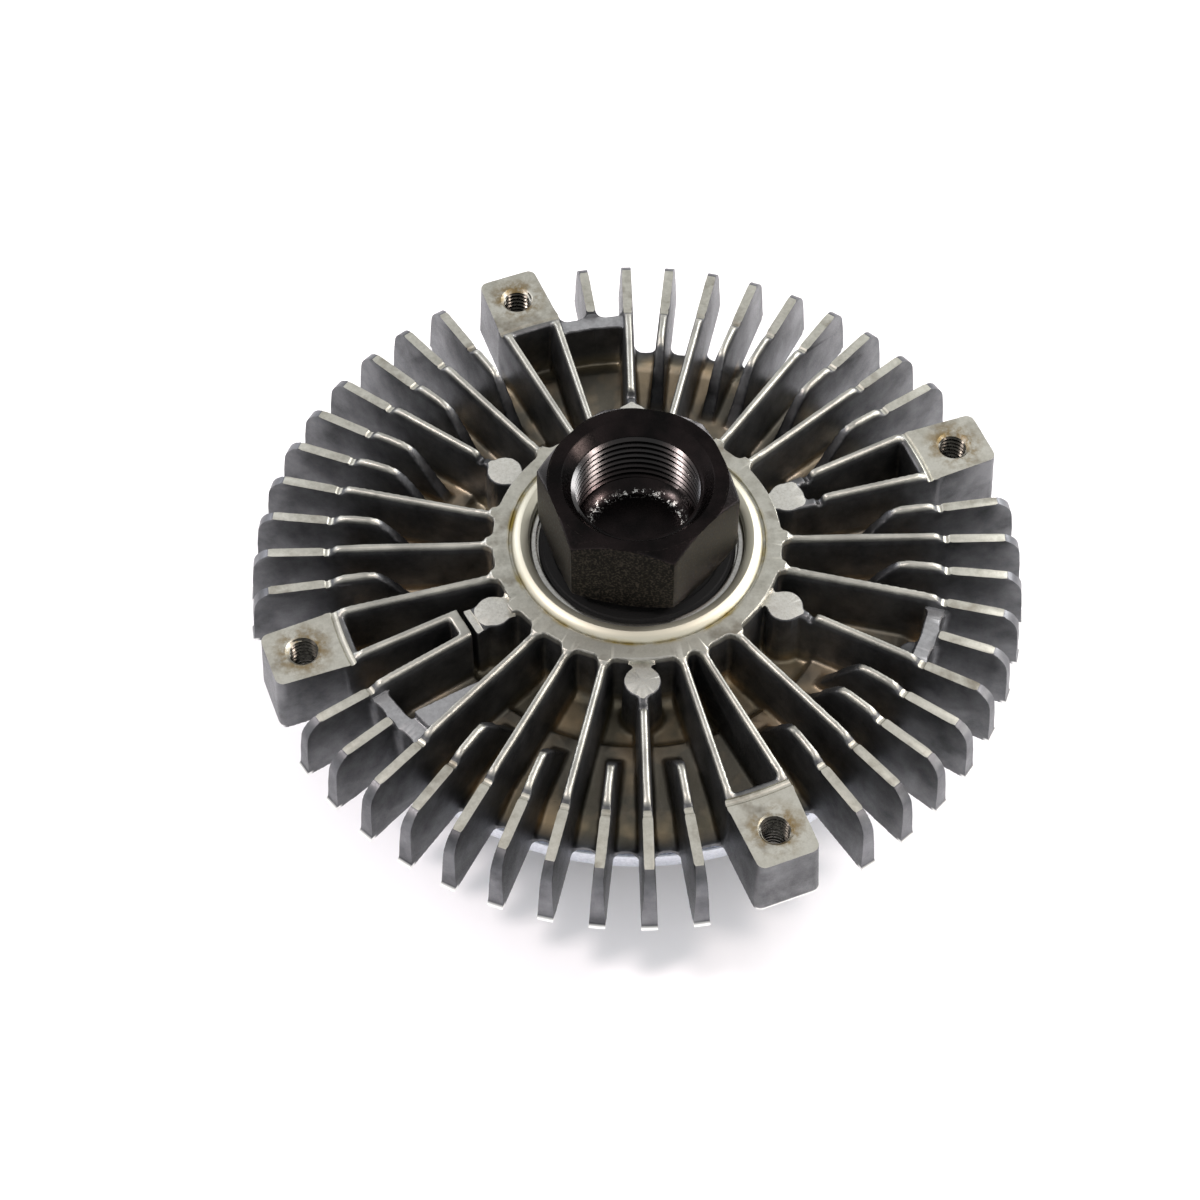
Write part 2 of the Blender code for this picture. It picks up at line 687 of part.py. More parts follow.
def housing_webs():
    # Walls that tie three neighbouring fins, with a scalloped outer side
    half = fin_half(plane_z) - 0.08 * MM
    placed = []
    for slot in WEB_FINS:
        middle = slot_angle(slot)
        before = slot_angle(slot - 1)
        after = slot_angle(slot + 1)
        if (slot - FIRST_GAP_SLOT) % SLOTS_PER_QUADRANT == 2:
            before = middle + FIN_PITCH_DEG
        outline = pocket_points(before, half, middle, half, rim_r, RIM_POCKET_FILLET)
        outline += pocket_points(middle, half, after, half, rim_r, RIM_POCKET_FILLET)
        outline += [turned_point((web_inner_r, 0.0), angle) for angle in (after, middle, before)]
        low_z = foot_z + 0.25 * MM
        placed.append((slab_mesh("web", [outline], low_z, plane_z - WEB_DROP), Matrix.Identity(4)))
    return gathered_mesh("housing_webs", placed)


def housing_profile():
    ring_z = plane_z + RING_RISE
    lip_under_z = bearing_top_z + SEAT_GAP
    lip_inner_r = BEARING_OUTER_R - LIP_OVERHANG
    lip_top_z = ring_z + LIP_RISE
    lip_middle_r = (lip_inner_r + lip_r) / 2
    floor_in_z = floor_z - FLOOR_STEP
    roof_in_z = roof_z - FLOOR_STEP
    ledge_z = foot_z + 0.5 * MM
    groove_z = foot_z - 0.6 * MM
    band_low_z = groove_z - 0.2 * MM - RIM_BAND_HEIGHT
    lip_z = flange_under_z - SEAT_GAP
    bore_r = BEARING_OUTER_R + FIT_GAP
    shoulder_r = BEARING_OUTER_R - BEARING_SHOULDER
    outer = [(lip_inner_r, lip_under_z), (lip_inner_r + 0.4 * MM, lip_top_z - 0.35 * MM),
             (lip_middle_r, lip_top_z), (lip_r - 0.8 * MM, lip_top_z - 0.45 * MM),
             (lip_r, ring_z - 0.5 * MM), (lip_r + 0.4 * MM, ring_z), (ring_r, ring_z),
             (ring_r + 0.5 * MM, floor_in_z), (floor_step_r, floor_in_z),
             (floor_step_r + 1.2 * MM, floor_z), (rim_r - LEDGE_WIDTH - 3.8 * MM, floor_z),
             (rim_r - LEDGE_WIDTH, ledge_z), (rim_r - 0.6 * MM, ledge_z - 0.1 * MM),
             (rim_r - 0.6 * MM, groove_z), (rim_band_r, groove_z - 0.2 * MM), (rim_band_r, band_low_z),
             (rim_band_r - 0.6 * MM, band_low_z - 0.9 * MM), (rim_band_r - 1.8 * MM, lip_z - 1.0 * MM),
             (rim_inner_r - 0.5 * MM, lip_z - 1.0 * MM)]
    inner = [(rim_inner_r - 0.6 * MM, lip_z), (rim_inner_r, lip_z), (rim_inner_r, seat_z),
             (cover_inner_r + 0.8 * MM, seat_z), (cover_inner_r + 0.2 * MM, roof_z),
             (floor_step_r + 1.4 * MM, roof_z), (floor_step_r + 0.2 * MM, roof_in_z),
             (shoulder_r, roof_in_z), (shoulder_r, bearing_bottom_z - SEAT_GAP),
             (bore_r, bearing_bottom_z - SEAT_GAP), (bore_r, lip_under_z)]
    return outer + inner


def boss_hole_mesh():
    # Tapping hole with a countersunk mouth, along the boss
    high = plane_z + 2.0 * MM
    low = foot_z - 2.0 * MM
    mesh = slab_mesh("tap", [circle_points(BOSS_THREAD_R, FACET_COUNT_SMALL)], low, high)
    sink = BOSS_THREAD_MOUTH_R - BOSS_THREAD_R
    bm = bmesh.new()
    bm.from_mesh(mesh)
    bmesh.ops.bisect_plane(bm, geom=bm.verts[:] + bm.edges[:] + bm.faces[:],
                           plane_co=(0.0, 0.0, plane_z - sink), plane_no=(0.0, 0.0, 1.0))
    for vert in bm.verts:
        over = vert.co.z - (plane_z - sink)
        if over > MERGE:
            vert.co.xy = vert.co.xy * (1.0 + over / BOSS_THREAD_R)
    bm.to_mesh(mesh)
    bm.free()
    mesh.transform(Matrix.Translation((boss_circle_r, 0.0, 0.0)))
    return mesh


def boss_holes():
    hole = boss_hole_mesh()
    return gathered_mesh("boss_holes", [(hole, turn(BOSS_ANGLE_DEG - 90.0 * i)) for i in range(4)])


def build_rear_housing(material):
    housing = turned_part("rear_housing", housing_profile(), FACET_COUNT_LARGE, material)
    for mesh in (rim_ledge_mesh(), housing_fins(), housing_ribs(), housing_sills(), housing_bosses(),
                 housing_webs(), housing_posts(), post_links()):
        add_boolean(housing, add_cutter(mesh.name + "_tool", mesh), "UNION")
    add_boolean(housing, add_cutter("boss_holes_tool", boss_holes()), "DIFFERENCE")
    return housing


def cover_profile():
    rest = 0.0
    dome_r = reservoir_r + RESERVOIR_WALL
    collar_outer_r = collar_inner_r + COLLAR_WALL
    plate_r = reservoir_r + PLATE_SEAT_WIDTH
    inner_edge_z = cover_land_z - RUN_GAP
    bore_r = VALVE_SHAFT_R + SEAT_GAP
    gland_r = bore_r + 2 * VALVE_RING_CORD_R + 0.15 * MM
    gland_low = reservoir_floor_z + 0.2 * MM
    gland_high = gland_low + 2 * VALVE_RING_CORD_R + 0.4 * MM
    hub_z = reservoir_floor_z + VALVE_HUB_HEIGHT
    rebate_r = cover_flange_r - SEAL_REBATE_WIDTH
    outer = [(rebate_r, flange_top_z), (rebate_r, flange_top_z - SEAL_REBATE_HEIGHT),
             (cover_flange_r, flange_top_z - SEAL_REBATE_HEIGHT), (cover_flange_r, flange_under_z),
             (cover_body_r, flange_under_z), (cover_body_r, groove_floor_z + 0.6 * MM),
             (cover_body_r - COVER_EDGE_TAPER, cover_face_z), (dome_r + DOME_SLOPE, cover_face_z),
             (dome_r, dome_face_z), (collar_outer_r, dome_face_z), (collar_outer_r, rest),
             (collar_inner_r, rest), (collar_inner_r, dome_face_z), (bore_r, dome_face_z)]
    inner = [(bore_r, gland_low), (gland_r, gland_low), (gland_r, gland_high), (bore_r, gland_high),
             (bore_r, hub_z), (VALVE_HUB_R, hub_z), (VALVE_HUB_R, reservoir_floor_z),
             (reservoir_r, reservoir_floor_z), (reservoir_r, groove_floor_z),
             (plate_r + SEAT_GAP, groove_floor_z), (plate_r + SEAT_GAP, inner_edge_z)]
    half_groove = LAND_WIDTH / 2 + LAND_SIDE_GAP
    for index in range(LAND_COUNT):
        middle = first_land_r + land_pitch * index
        top_in = inner_edge_z if index == 0 else cover_land_z
        top_out = groove_floor_z if index == LAND_COUNT - 1 else cover_land_z
        inner += [(middle - half_groove, top_in), (middle - half_groove, groove_floor_z)]
        if top_out > groove_floor_z:
            inner += [(middle + half_groove, groove_floor_z), (middle + half_groove, top_out)]
    inner += [(cover_inner_r, groove_floor_z), (cover_inner_r, flange_top_z)]
    return outer + inner


def cover_fins():
    # Radial cooling fins on the front, standing on the rest plane
    root_r = collar_inner_r + COLLAR_WALL - 1.0 * MM
    half = COVER_FIN_THICKNESS / 2
    tip_r = cover_body_r - COVER_EDGE_TAPER
    outline = [(root_r, dome_face_z + 1.0 * MM), (root_r, 0.15 * MM), (root_r + 3.5 * MM, 0.0),
               (tip_r - COVER_FIN_TIP_TAPER, 0.0), (tip_r, cover_face_z - 0.4 * MM),
               (tip_r - 0.3 * MM, cover_face_z + 1.2 * MM),
               (reservoir_r + COVER_FIN_ROOT_SPAN, cover_face_z + 1.4 * MM)]
    mesh = outline_mesh("cover_fin", [outline], half)
    mesh.transform(Matrix.Rotation(math.radians(90.0), 4, "X"))
    step = 360.0 / COVER_FIN_COUNT
    first = 180.0 / FACET_COUNT_LARGE
    placed = [(mesh, turn(first + step * i)) for i in range(COVER_FIN_COUNT)]
    return gathered_mesh("cover_fins", placed)


def anchor_mesh():
    # Slotted lug on the collar that holds the outer end of the spiral
    slot = STRIP_THICKNESS / 2 + FIT_GAP
    inner = spiral_end_r + 0.5 * MM
    outer = collar_inner_r + 0.6 * MM
    cheeks = []
    for side in (-1, 1):
        low = min(side * slot, side * (slot + ANCHOR_CHEEK))
        high = max(side * slot, side * (slot + ANCHOR_CHEEK))
        outline = [(inner, low), (outer, low), (outer, high), (inner, high)]
        cheeks.append((slab_mesh("cheek", [outline], 0.9 * MM, dome_face_z + 0.6 * MM), Matrix.Identity(4)))
    return gathered_mesh("anchor", cheeks)


def build_front_cover(material):
    cover = turned_part("front_cover", cover_profile(), FACET_COUNT_LARGE, material)
    add_boolean(cover, add_cutter("cover_fins_tool", cover_fins()), "UNION")
    add_boolean(cover, add_cutter("anchor_tool", anchor_mesh()), "UNION")
    return cover


def build_rotor(material):
    bore_r = spline_r + FIT_GAP
    hub_top_z = bearing_bottom_z - SEAT_GAP
    web_top_z = rotor_top_z - FLOOR_STEP
    recess_r = rivet_head_r + 1.2 * MM
    recess_z = rotor_under_z + 0.9 * MM
    half = LAND_WIDTH / 2
    profile = [(rotor_hub_r, hub_top_z), (rotor_hub_r, web_top_z), (floor_step_r, web_top_z),
               (floor_step_r + 2.0 * MM, rotor_top_z), (rotor_r, rotor_top_z), (rotor_r, rotor_under_z)]
    for index in reversed(range(LAND_COUNT)):
        middle = first_land_r + land_pitch * index
        profile += [(middle + half, rotor_under_z), (middle + half, rotor_tip_z),
                    (middle - half, rotor_tip_z), (middle - half, rotor_under_z)]
    profile += [(recess_r, rotor_under_z), (recess_r, recess_z), (bore_r, recess_z), (bore_r, hub_top_z)]
    rotor = turned_part("rotor_disc", profile, FACET_COUNT_MEDIUM, material)
    port = slab_mesh("port", [circle_points(ROTOR_PORT_R, 8)], rotor_under_z - 1.0 * MM, rotor_top_z)
    port.transform(Matrix.Translation((reservoir_r - ROTOR_PORT_INSET, 0.0, 0.0)))
    step = 360.0 / ROTOR_PORT_COUNT
    ports = gathered_mesh("rotor_ports", [(port, turn(step * i)) for i in range(ROTOR_PORT_COUNT)])
    add_boolean(rotor, add_cutter("rotor_ports_tool", ports), "DIFFERENCE")
    return rotor


def build_hub_shaft(material):
    top_z = nut_top_z
    foot = nut_foot_z
    corner_r = NUT_ACROSS_FLATS / 2 / math.cos(math.radians(30.0))
    bpy.ops.mesh.primitive_cylinder_add(vertices=6, radius=corner_r, depth=top_z - foot,
                                        location=(0.0, 0.0, (top_z + foot) / 2))
    shaft = bpy.context.active_object
    shaft.name = "hub_shaft"
    for collection in list(shaft.users_collection):
        collection.objects.unlink(shaft)
    parts.objects.link(shaft)
    shaft.data.materials.append(material)
    shaft.data.transform(Matrix.Translation(shaft.location) @ turn(NUT_CORNER_DEG - 90.0))
    shaft.location = (0.0, 0.0, 0.0)
    reach = corner_r + 1.0 * MM
    slope = math.tan(math.radians(30.0))
    envelope = [(NUT_CHAMFER_R, top_z + 0.01 * MM), (reach, top_z - (reach - NUT_CHAMFER_R) * slope),
                (reach, foot + (reach - NUT_CHAMFER_R) * slope * 0.6), (NUT_CHAMFER_R, foot - 0.01 * MM),
                (0.0, foot - 0.01 * MM), (0.0, top_z + 0.01 * MM)]
    add_boolean(shaft, turned_cutter("nut_envelope", envelope, FACET_COUNT_MEDIUM), "INTERSECT")
    seat_top = bearing_top_z + SEAT_GAP
    journal_r = bearing_bore_r - FIT_GAP
    spline_z = bearing_bottom_z + 0.5 * MM
    head_z = rotor_under_z + 0.9 * MM - SEAT_GAP
    shank = [(neck_r, foot + 1.0 * MM), (neck_r, seat_top), (journal_r, seat_top),
             (journal_r, spline_z), (spline_r, spline_z), (spline_r, head_z),
             (rivet_head_r, head_z), (rivet_head_r - 1.0 * MM, head_z - RIVET_HEAD_HEIGHT),
             (0.0, head_z - RIVET_HEAD_HEIGHT), (0.0, foot + 1.0 * MM)]
    add_boolean(shaft, turned_cutter("hub_shank", shank, FACET_COUNT_MEDIUM), "UNION")
    mouth_z = top_z - THREAD_MOUTH_DEPTH
    bore = [(THREAD_MOUTH_R + 0.5 * MM, top_z + 0.5 * MM), (THREAD_MOUTH_R, top_z),
            (THREAD_R + 0.9 * MM, mouth_z), (THREAD_R, mouth_z - 0.8 * MM),
            (THREAD_R, bore_floor_z + 1.6 * MM), (THREAD_R - 2.2 * MM, bore_floor_z),
            (0.0, bore_floor_z - 0.8 * MM), (0.0, top_z + 0.5 * MM)]
    add_boolean(shaft, turned_cutter("hub_bore", bore, FACET_COUNT_MEDIUM), "DIFFERENCE")
    return shaft


def race_arc(sign, shoulder_r):
    # Raceway arc from the top shoulder down, bulging outward for the outer ring
    radius = ball_r + RACE_GAP
    reach = (shoulder_r - ball_circle_r) * sign
    edge_deg = math.degrees(math.acos(reach / radius))
    points = arc_points((ball_circle_r, ball_z), radius, edge_deg, -edge_deg, 3)
    if sign < 0:
        points = [(2 * ball_circle_r - x, z) for x, z in points]
    return points


def build_bearing(ring_steel, ball_steel, cage_steel, seal_rubber):
    chamfer = 0.7 * MM
    seat_depth = SHIELD_RECESS + SHIELD_THICKNESS + FIT_GAP
    top = bearing_top_z
    low = bearing_bottom_z
    race = race_arc(1, outer_shoulder_r)
    race.reverse()
    outer = [(shield_seat_r, top), (BEARING_OUTER_R - chamfer, top), (BEARING_OUTER_R, top - chamfer),
             (BEARING_OUTER_R, low), (shield_seat_r, low),
             (shield_seat_r, low + seat_depth), (outer_shoulder_r, low + seat_depth)]
    outer += race + [(outer_shoulder_r, top - seat_depth), (shield_seat_r, top - seat_depth)]
    turned_part("bearing_outer_ring", outer, FACET_COUNT_MEDIUM, ring_steel)
    inner = [(inner_shoulder_r, top)] + race_arc(-1, inner_shoulder_r)
    inner += [(inner_shoulder_r, low), (bearing_bore_r, low), (bearing_bore_r, top)]
    turned_part("bearing_inner_ring", inner, FACET_COUNT_MEDIUM, ring_steel)
    shield_in = inner_shoulder_r + FIT_GAP
    shield_out = shield_seat_r - FIT_GAP
    for name, face in (("rear_bearing_seal", top - SHIELD_RECESS),
                       ("front_bearing_seal", low + SHIELD_RECESS + SHIELD_THICKNESS)):
        shield = [(shield_out, face), (shield_out, face - SHIELD_THICKNESS),
                  (shield_in, face - SHIELD_THICKNESS), (shield_in, face)]
        turned_part(name, shield, FACET_COUNT_MEDIUM, seal_rubber)
    cage_half = BEARING_WIDTH / 2 - seat_depth - SEAT_GAP
    cage_in = ball_circle_r - CAGE_WALL / 2
    cage_out = ball_circle_r + CAGE_WALL / 2
    ring = [(cage_out, ball_z + cage_half), (cage_out, ball_z - cage_half),
            (cage_in, ball_z - cage_half), (cage_in, ball_z + cage_half)]
    cage = turned_part("bearing_cage", ring, FACET_COUNT_MEDIUM, cage_steel)
    pocket = slab_mesh("pocket", [circle_points(ball_r + FIT_GAP, 8)], -CAGE_WALL * 1.5, CAGE_WALL * 1.5)
    pocket.transform(Matrix.Translation((ball_circle_r, 0.0, ball_z)) @ Matrix.Rotation(math.pi / 2, 4, "Y"))
    step = 360.0 / BALL_COUNT
    pockets = gathered_mesh("cage_pockets", [(pocket, turn(step * i)) for i in range(BALL_COUNT)])
    add_boolean(cage, add_cutter("cage_pockets_tool", pockets), "DIFFERENCE")
    bm = bmesh.new()
    bmesh.ops.create_uvsphere(bm, u_segments=8, v_segments=6, radius=ball_r)
    sphere = bpy.data.meshes.new("bearing_ball")
    bm.to_mesh(sphere)
    bm.free()
    for index in range(BALL_COUNT):
        ball = add_part("bearing_ball_" + str(index + 1), sphere.copy(), ball_steel)
        angle = math.radians(step * index)
        ball.location = (ball_circle_r * math.cos(angle), ball_circle_r * math.sin(angle), ball_z)


def ring_part(name, major_r, cord_r, height, segments, material):
    bpy.ops.mesh.primitive_torus_add(major_radius=major_r, minor_radius=cord_r, major_segments=segments,
                                     minor_segments=4, location=(0.0, 0.0, height))
    ring = bpy.context.active_object
    ring.name = name
    for collection in list(ring.users_collection):
        collection.objects.unlink(ring)
    parts.objects.link(ring)
    ring.data.materials.append(material)
    return ring


def build_seals(material):
    rebate_middle = cover_flange_r - SEAL_REBATE_WIDTH / 2
    seal_z = flange_top_z - SEAL_REBATE_HEIGHT / 2
    ring_part("cover_seal_ring", rebate_middle, SEAL_CORD_R, seal_z, FACET_COUNT_LARGE, material)
    ring_z = reservoir_floor_z + 0.4 * MM + VALVE_RING_CORD_R
    ring_r = VALVE_SHAFT_R + FIT_GAP + VALVE_RING_CORD_R
    ring_part("valve_shaft_seal", ring_r, VALVE_RING_CORD_R, ring_z, FACET_COUNT_SMALL, material)


def build_separator_plate(material):
    plate_r = reservoir_r + PLATE_SEAT_WIDTH
    port = circle_points(PORT_R, 12, (port_circle_r, 0.0))
    mesh = slab_mesh("separator_plate", [circle_points(plate_r, FACET_COUNT_MEDIUM), port],
                     plate_under_z, plate_under_z + PLATE_THICKNESS)
    return add_part("separator_plate", mesh, material)


def build_valve(arm_steel, shaft_steel):
    pivot = bpy.data.objects.new("valve_pivot", None)
    parts.objects.link(pivot)
    half = ARM_WIDTH / 2
    paddle = arc_points((port_circle_r, 0.0), ARM_PADDLE_R, -130.0, 130.0, 8)
    hub = arc_points((0.0, 0.0), half + 1.2 * MM, 60.0, 300.0, 8)
    hole = circle_points(VALVE_SPIGOT_R + FIT_GAP, 10)
    arm_mesh = slab_mesh("valve_arm", [paddle + hub, hole], arm_under_z, arm_top_z)
    arm = add_part("valve_arm", arm_mesh, arm_steel)
    arm.parent = pivot
    shoulder_z = arm_under_z - FIT_GAP
    profile = [(0.0, arm_top_z), (VALVE_SPIGOT_R, arm_top_z), (VALVE_SPIGOT_R, shoulder_z),
               (VALVE_SHAFT_R, shoulder_z), (VALVE_SHAFT_R, strip_under_z), (0.0, strip_under_z)]
    shaft = turned_part("valve_shaft", profile, FACET_COUNT_SMALL, shaft_steel)
    shaft.parent = pivot
    slot = STRIP_THICKNESS / 2 + FIT_GAP
    reach = VALVE_SHAFT_R + 1.0 * MM
    outline = [(-reach, -slot), (reach, -slot), (reach, slot), (-reach, slot)]
    slot_mesh = slab_mesh("shaft_slot", [outline], strip_under_z - 1.0 * MM, strip_top_z + FIT_GAP)
    add_boolean(shaft, add_cutter("shaft_slot_tool", slot_mesh), "DIFFERENCE")


def spiral_centreline():
    # Tab through the shaft, the turns, and the tab into the anchor
    steps = 12 * SPIRAL_TURNS
    points = [(-VALVE_SHAFT_R * 0.8, 0.0)]
    for i in range(steps + 1):
        angle = 2 * math.pi * SPIRAL_TURNS * i / steps
        radius = SPIRAL_START_R + SPIRAL_PITCH * SPIRAL_TURNS * i / steps
        points.append((radius * math.cos(angle), radius * math.sin(angle)))
    points.append((spiral_end_r + ANCHOR_LENGTH, 0.0))
    return [Vector(point) for point in points]


def offset_side(points, distance):
    # The centreline moved sideways, mitred where it bends
    moved = []
    for index, point in enumerate(points):
        before = points[max(index - 1, 0)]
        after = points[min(index + 1, len(points) - 1)]
        into = (point - before).normalized() if index > 0 else (after - point).normalized()
        out = (after - point).normalized() if index < len(points) - 1 else into
        bisector = (into + out).normalized()
        normal = Vector((-bisector.y, bisector.x))
        stretch = 1.0 / max(bisector.dot(into), 0.5)
        moved.append(tuple(point + normal * distance * stretch))
    return moved


def build_spiral(material):
    line = spiral_centreline()
    half = STRIP_THICKNESS / 2
    outline = offset_side(line, half) + list(reversed(offset_side(line, -half)))
    mesh = slab_mesh("bimetal_spiral", [outline], strip_under_z, strip_top_z)
    return add_part("bimetal_spiral", mesh, material)


def build_wiper(material):
    # Block in the outer channel that turns the fluid back to the reservoir
    outer = cover_inner_r - SEAT_GAP
    inner = outer - WIPER_THICKNESS
    half_deg = math.degrees(WIPER_LENGTH / 2 / outer)
    middle = 180.0
    outline = arc_points((0.0, 0.0), outer, middle - half_deg, middle + half_deg, 4)
    outline += arc_points((0.0, 0.0), inner, middle + half_deg, middle - half_deg, 4)
    low_z = groove_floor_z + SEAT_GAP
    mesh = slab_mesh("scavenge_wiper", [outline], low_z, low_z + WIPER_HEIGHT)
    return add_part("scavenge_wiper", mesh, material)


def main():
    cast_aluminium = make_material("cast_aluminium", (0.30, 0.30, 0.29), 0.45, 1.0)
    turned_aluminium = make_material("front_cover_aluminium", (0.34, 0.34, 0.33), 0.42, 1.0)
    black_steel = make_material("black_oxide_steel", (0.02, 0.017, 0.016), 0.38, 0.9)
    bearing_steel = make_material("bearing_steel", (0.55, 0.55, 0.54), 0.22, 1.0)
    ball_steel = make_material("ball_steel", (0.68, 0.68, 0.68), 0.1, 1.0)
    cage_steel = make_material("cage_steel", (0.42, 0.41, 0.39), 0.35, 1.0)
    black_rubber = make_material("black_rubber", (0.012, 0.012, 0.013), 0.6, 0.0)
    rotor_alloy = make_material("rotor_aluminium", (0.50, 0.50, 0.49), 0.3, 1.0)
    sheet_steel = make_material("sheet_steel", (0.46, 0.46, 0.45), 0.32, 1.0)
    spring_steel = make_material("spring_steel", (0.36, 0.36, 0.37), 0.3, 1.0)
    bimetal = make_material("bimetal_strip", (0.38, 0.34, 0.28), 0.34, 1.0)
    wiper_plastic = make_material("wiper_plastic", (0.05, 0.045, 0.04), 0.5, 0.0)
    build_rear_housing(cast_aluminium)
    build_front_cover(turned_aluminium)
    build_seals(black_rubber)
    build_hub_shaft(black_steel)
    build_bearing(bearing_steel, ball_steel, cage_steel, black_rubber)
    build_rotor(rotor_alloy)
    build_separator_plate(sheet_steel)
    build_valve(spring_steel, bearing_steel)
    build_spiral(bimetal)
    build_wiper(wiper_plastic)


main()
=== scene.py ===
# Viscous fan clutch on a pale studio floor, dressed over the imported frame.
import math

import bmesh
import bpy
from mathutils import Matrix, Vector


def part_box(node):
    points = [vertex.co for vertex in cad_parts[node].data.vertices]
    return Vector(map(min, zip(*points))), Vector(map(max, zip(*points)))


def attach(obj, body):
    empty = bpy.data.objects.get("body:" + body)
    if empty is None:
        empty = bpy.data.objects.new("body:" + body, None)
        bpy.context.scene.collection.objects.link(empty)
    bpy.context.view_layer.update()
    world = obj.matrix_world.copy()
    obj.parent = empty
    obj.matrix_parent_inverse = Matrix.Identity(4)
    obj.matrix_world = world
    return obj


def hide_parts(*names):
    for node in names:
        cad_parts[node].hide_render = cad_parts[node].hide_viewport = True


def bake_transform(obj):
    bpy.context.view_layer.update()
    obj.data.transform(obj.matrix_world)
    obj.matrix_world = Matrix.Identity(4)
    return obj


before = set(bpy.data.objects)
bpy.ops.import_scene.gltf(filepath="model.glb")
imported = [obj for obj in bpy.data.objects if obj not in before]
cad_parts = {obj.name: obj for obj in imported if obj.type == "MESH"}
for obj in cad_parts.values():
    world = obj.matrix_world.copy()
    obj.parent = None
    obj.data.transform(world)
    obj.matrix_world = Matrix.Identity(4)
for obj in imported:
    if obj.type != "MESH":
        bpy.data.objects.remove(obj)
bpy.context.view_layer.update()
mm = 0.001

# Levels from the frame: the machined fin plane lies this far under the nut's face
nutRise = 19.9
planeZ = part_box("hub_shaft")[1].z - nutRise * mm
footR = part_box("rear_housing")[1].x / mm


def at(height):
    # A height in millimetres from the machined plane
    return planeZ + height * mm


def addNode(tree, kind, inputs=None, **settings):
    node = tree.nodes.new(kind)
    for name, value in settings.items():
        setattr(node, name, value)
    for key, value in (inputs or {}).items():
        if isinstance(value, bpy.types.NodeSocket):
            tree.links.new(value, node.inputs[key])
        else:
            node.inputs[key].default_value = value
    return node


def srgb(code):
    # An sRGB hex colour as linear RGBA
    values = [int(code[i:i + 2], 16) / 255 for i in (1, 3, 5)]
    linear = [v / 12.92 if v <= 0.04045 else ((v + 0.055) / 1.055) ** 2.4 for v in values]
    return (*linear, 1.0)


# Camera, solved from the photograph: millimetres from the middle of the machined plane
camera = {"place": (-6.87, -278.14, 381.14), "elevationDeg": 55.10, "rollDeg": 0.37, "lens": 76.95,
          "sensor": 36.0}


def makeCamera():
    data = bpy.data.cameras.new("photoCamera")
    data.sensor_width = camera["sensor"]
    data.lens = camera["lens"]
    data.clip_start = 0.01
    data.clip_end = 20.0
    obj = bpy.data.objects.new("photoCamera", data)
    bpy.context.scene.collection.objects.link(obj)
    x, y, z = camera["place"]
    tilt = math.radians(90.0 - camera["elevationDeg"])
    roll = math.radians(camera["rollDeg"])
    obj.matrix_world = (Matrix.Translation((x * mm, y * mm, at(z)))
                        @ Matrix.Rotation(tilt, 4, "X") @ Matrix.Rotation(-roll, 4, "Z"))
    bpy.context.scene.camera = obj


makeCamera()
print("camera placed")


# Mesh helpers

def newObject(name, mesh, *materials):
    obj = bpy.data.objects.new(name, mesh)
    bpy.context.scene.collection.objects.link(obj)
    for material in materials:
        obj.data.materials.append(material)
    return obj


def meshFrom(bm, name):
    mesh = bpy.data.meshes.new(name)
    bm.to_mesh(mesh)
    bm.free()
    return mesh


def polar(radius, angle, height):
    return (radius * mm * math.cos(angle), radius * mm * math.sin(angle), at(height))


def arc(centre, radii, startDeg, endDeg, count):
    points = []
    for i in range(count + 1):
        angle = math.radians(startDeg + (endDeg - startDeg) * i / count)
        points.append((centre[0] + radii[0] * math.cos(angle), centre[1] + radii[1] * math.sin(angle)))
    return points


def circle(radius, count, centre=(0.0, 0.0)):
    return arc(centre, (radius, radius), 0.0, 360.0 - 360.0 / count, count - 1)


def gridMesh(name, rows, columns, closed):
    # rows are functions of the angle that give (radius, height) in millimetres from the plane
    bm = bmesh.new()
    rings = []
    for row in rows:
        angles = [2 * math.pi * i / columns for i in range(columns)]
        rings.append([bm.verts.new(polar(row(angle)[0], angle, row(angle)[1])) for angle in angles])
    for index in range(len(rings) if closed else len(rings) - 1):
        low = rings[index]
        high = rings[(index + 1) % len(rings)]
        for i in range(columns):
            j = (i + 1) % columns
            bm.faces.new((low[i], low[j], high[j], high[i]))
    bmesh.ops.remove_doubles(bm, verts=bm.verts, dist=0.0005 * mm)
    bmesh.ops.recalc_face_normals(bm, faces=bm.faces)
    return meshFrom(bm, name)


def turnedMesh(name, profile, columns):
    # A closed outline of (radius, height) turned round the axis
    return gridMesh(name, [lambda angle, point=point: point for point in profile], columns, True)


def sweptMesh(name, rings):
    # Quads between rings of points, with both ends closed
    bm = bmesh.new()
    rows = [[bm.verts.new(point) for point in ring] for ring in rings]
    for low, high in zip(rows, rows[1:]):
        for i in range(len(low)):
            j = (i + 1) % len(low)
            bm.faces.new((low[i], low[j], high[j], high[i]))
    bm.faces.new(rows[0])
    bm.faces.new(rows[-1])
    bmesh.ops.recalc_face_normals(bm, faces=bm.faces)
    return meshFrom(bm, name)


def sectorMesh(name, profile, startDeg, endDeg, columns):
    # A closed outline of (radius, height) turned through part of a circle
    angles = [math.radians(startDeg + (endDeg - startDeg) * i / columns) for i in range(columns + 1)]
    return sweptMesh(name, [[polar(radius, angle, height) for radius, height in profile] for angle in angles])


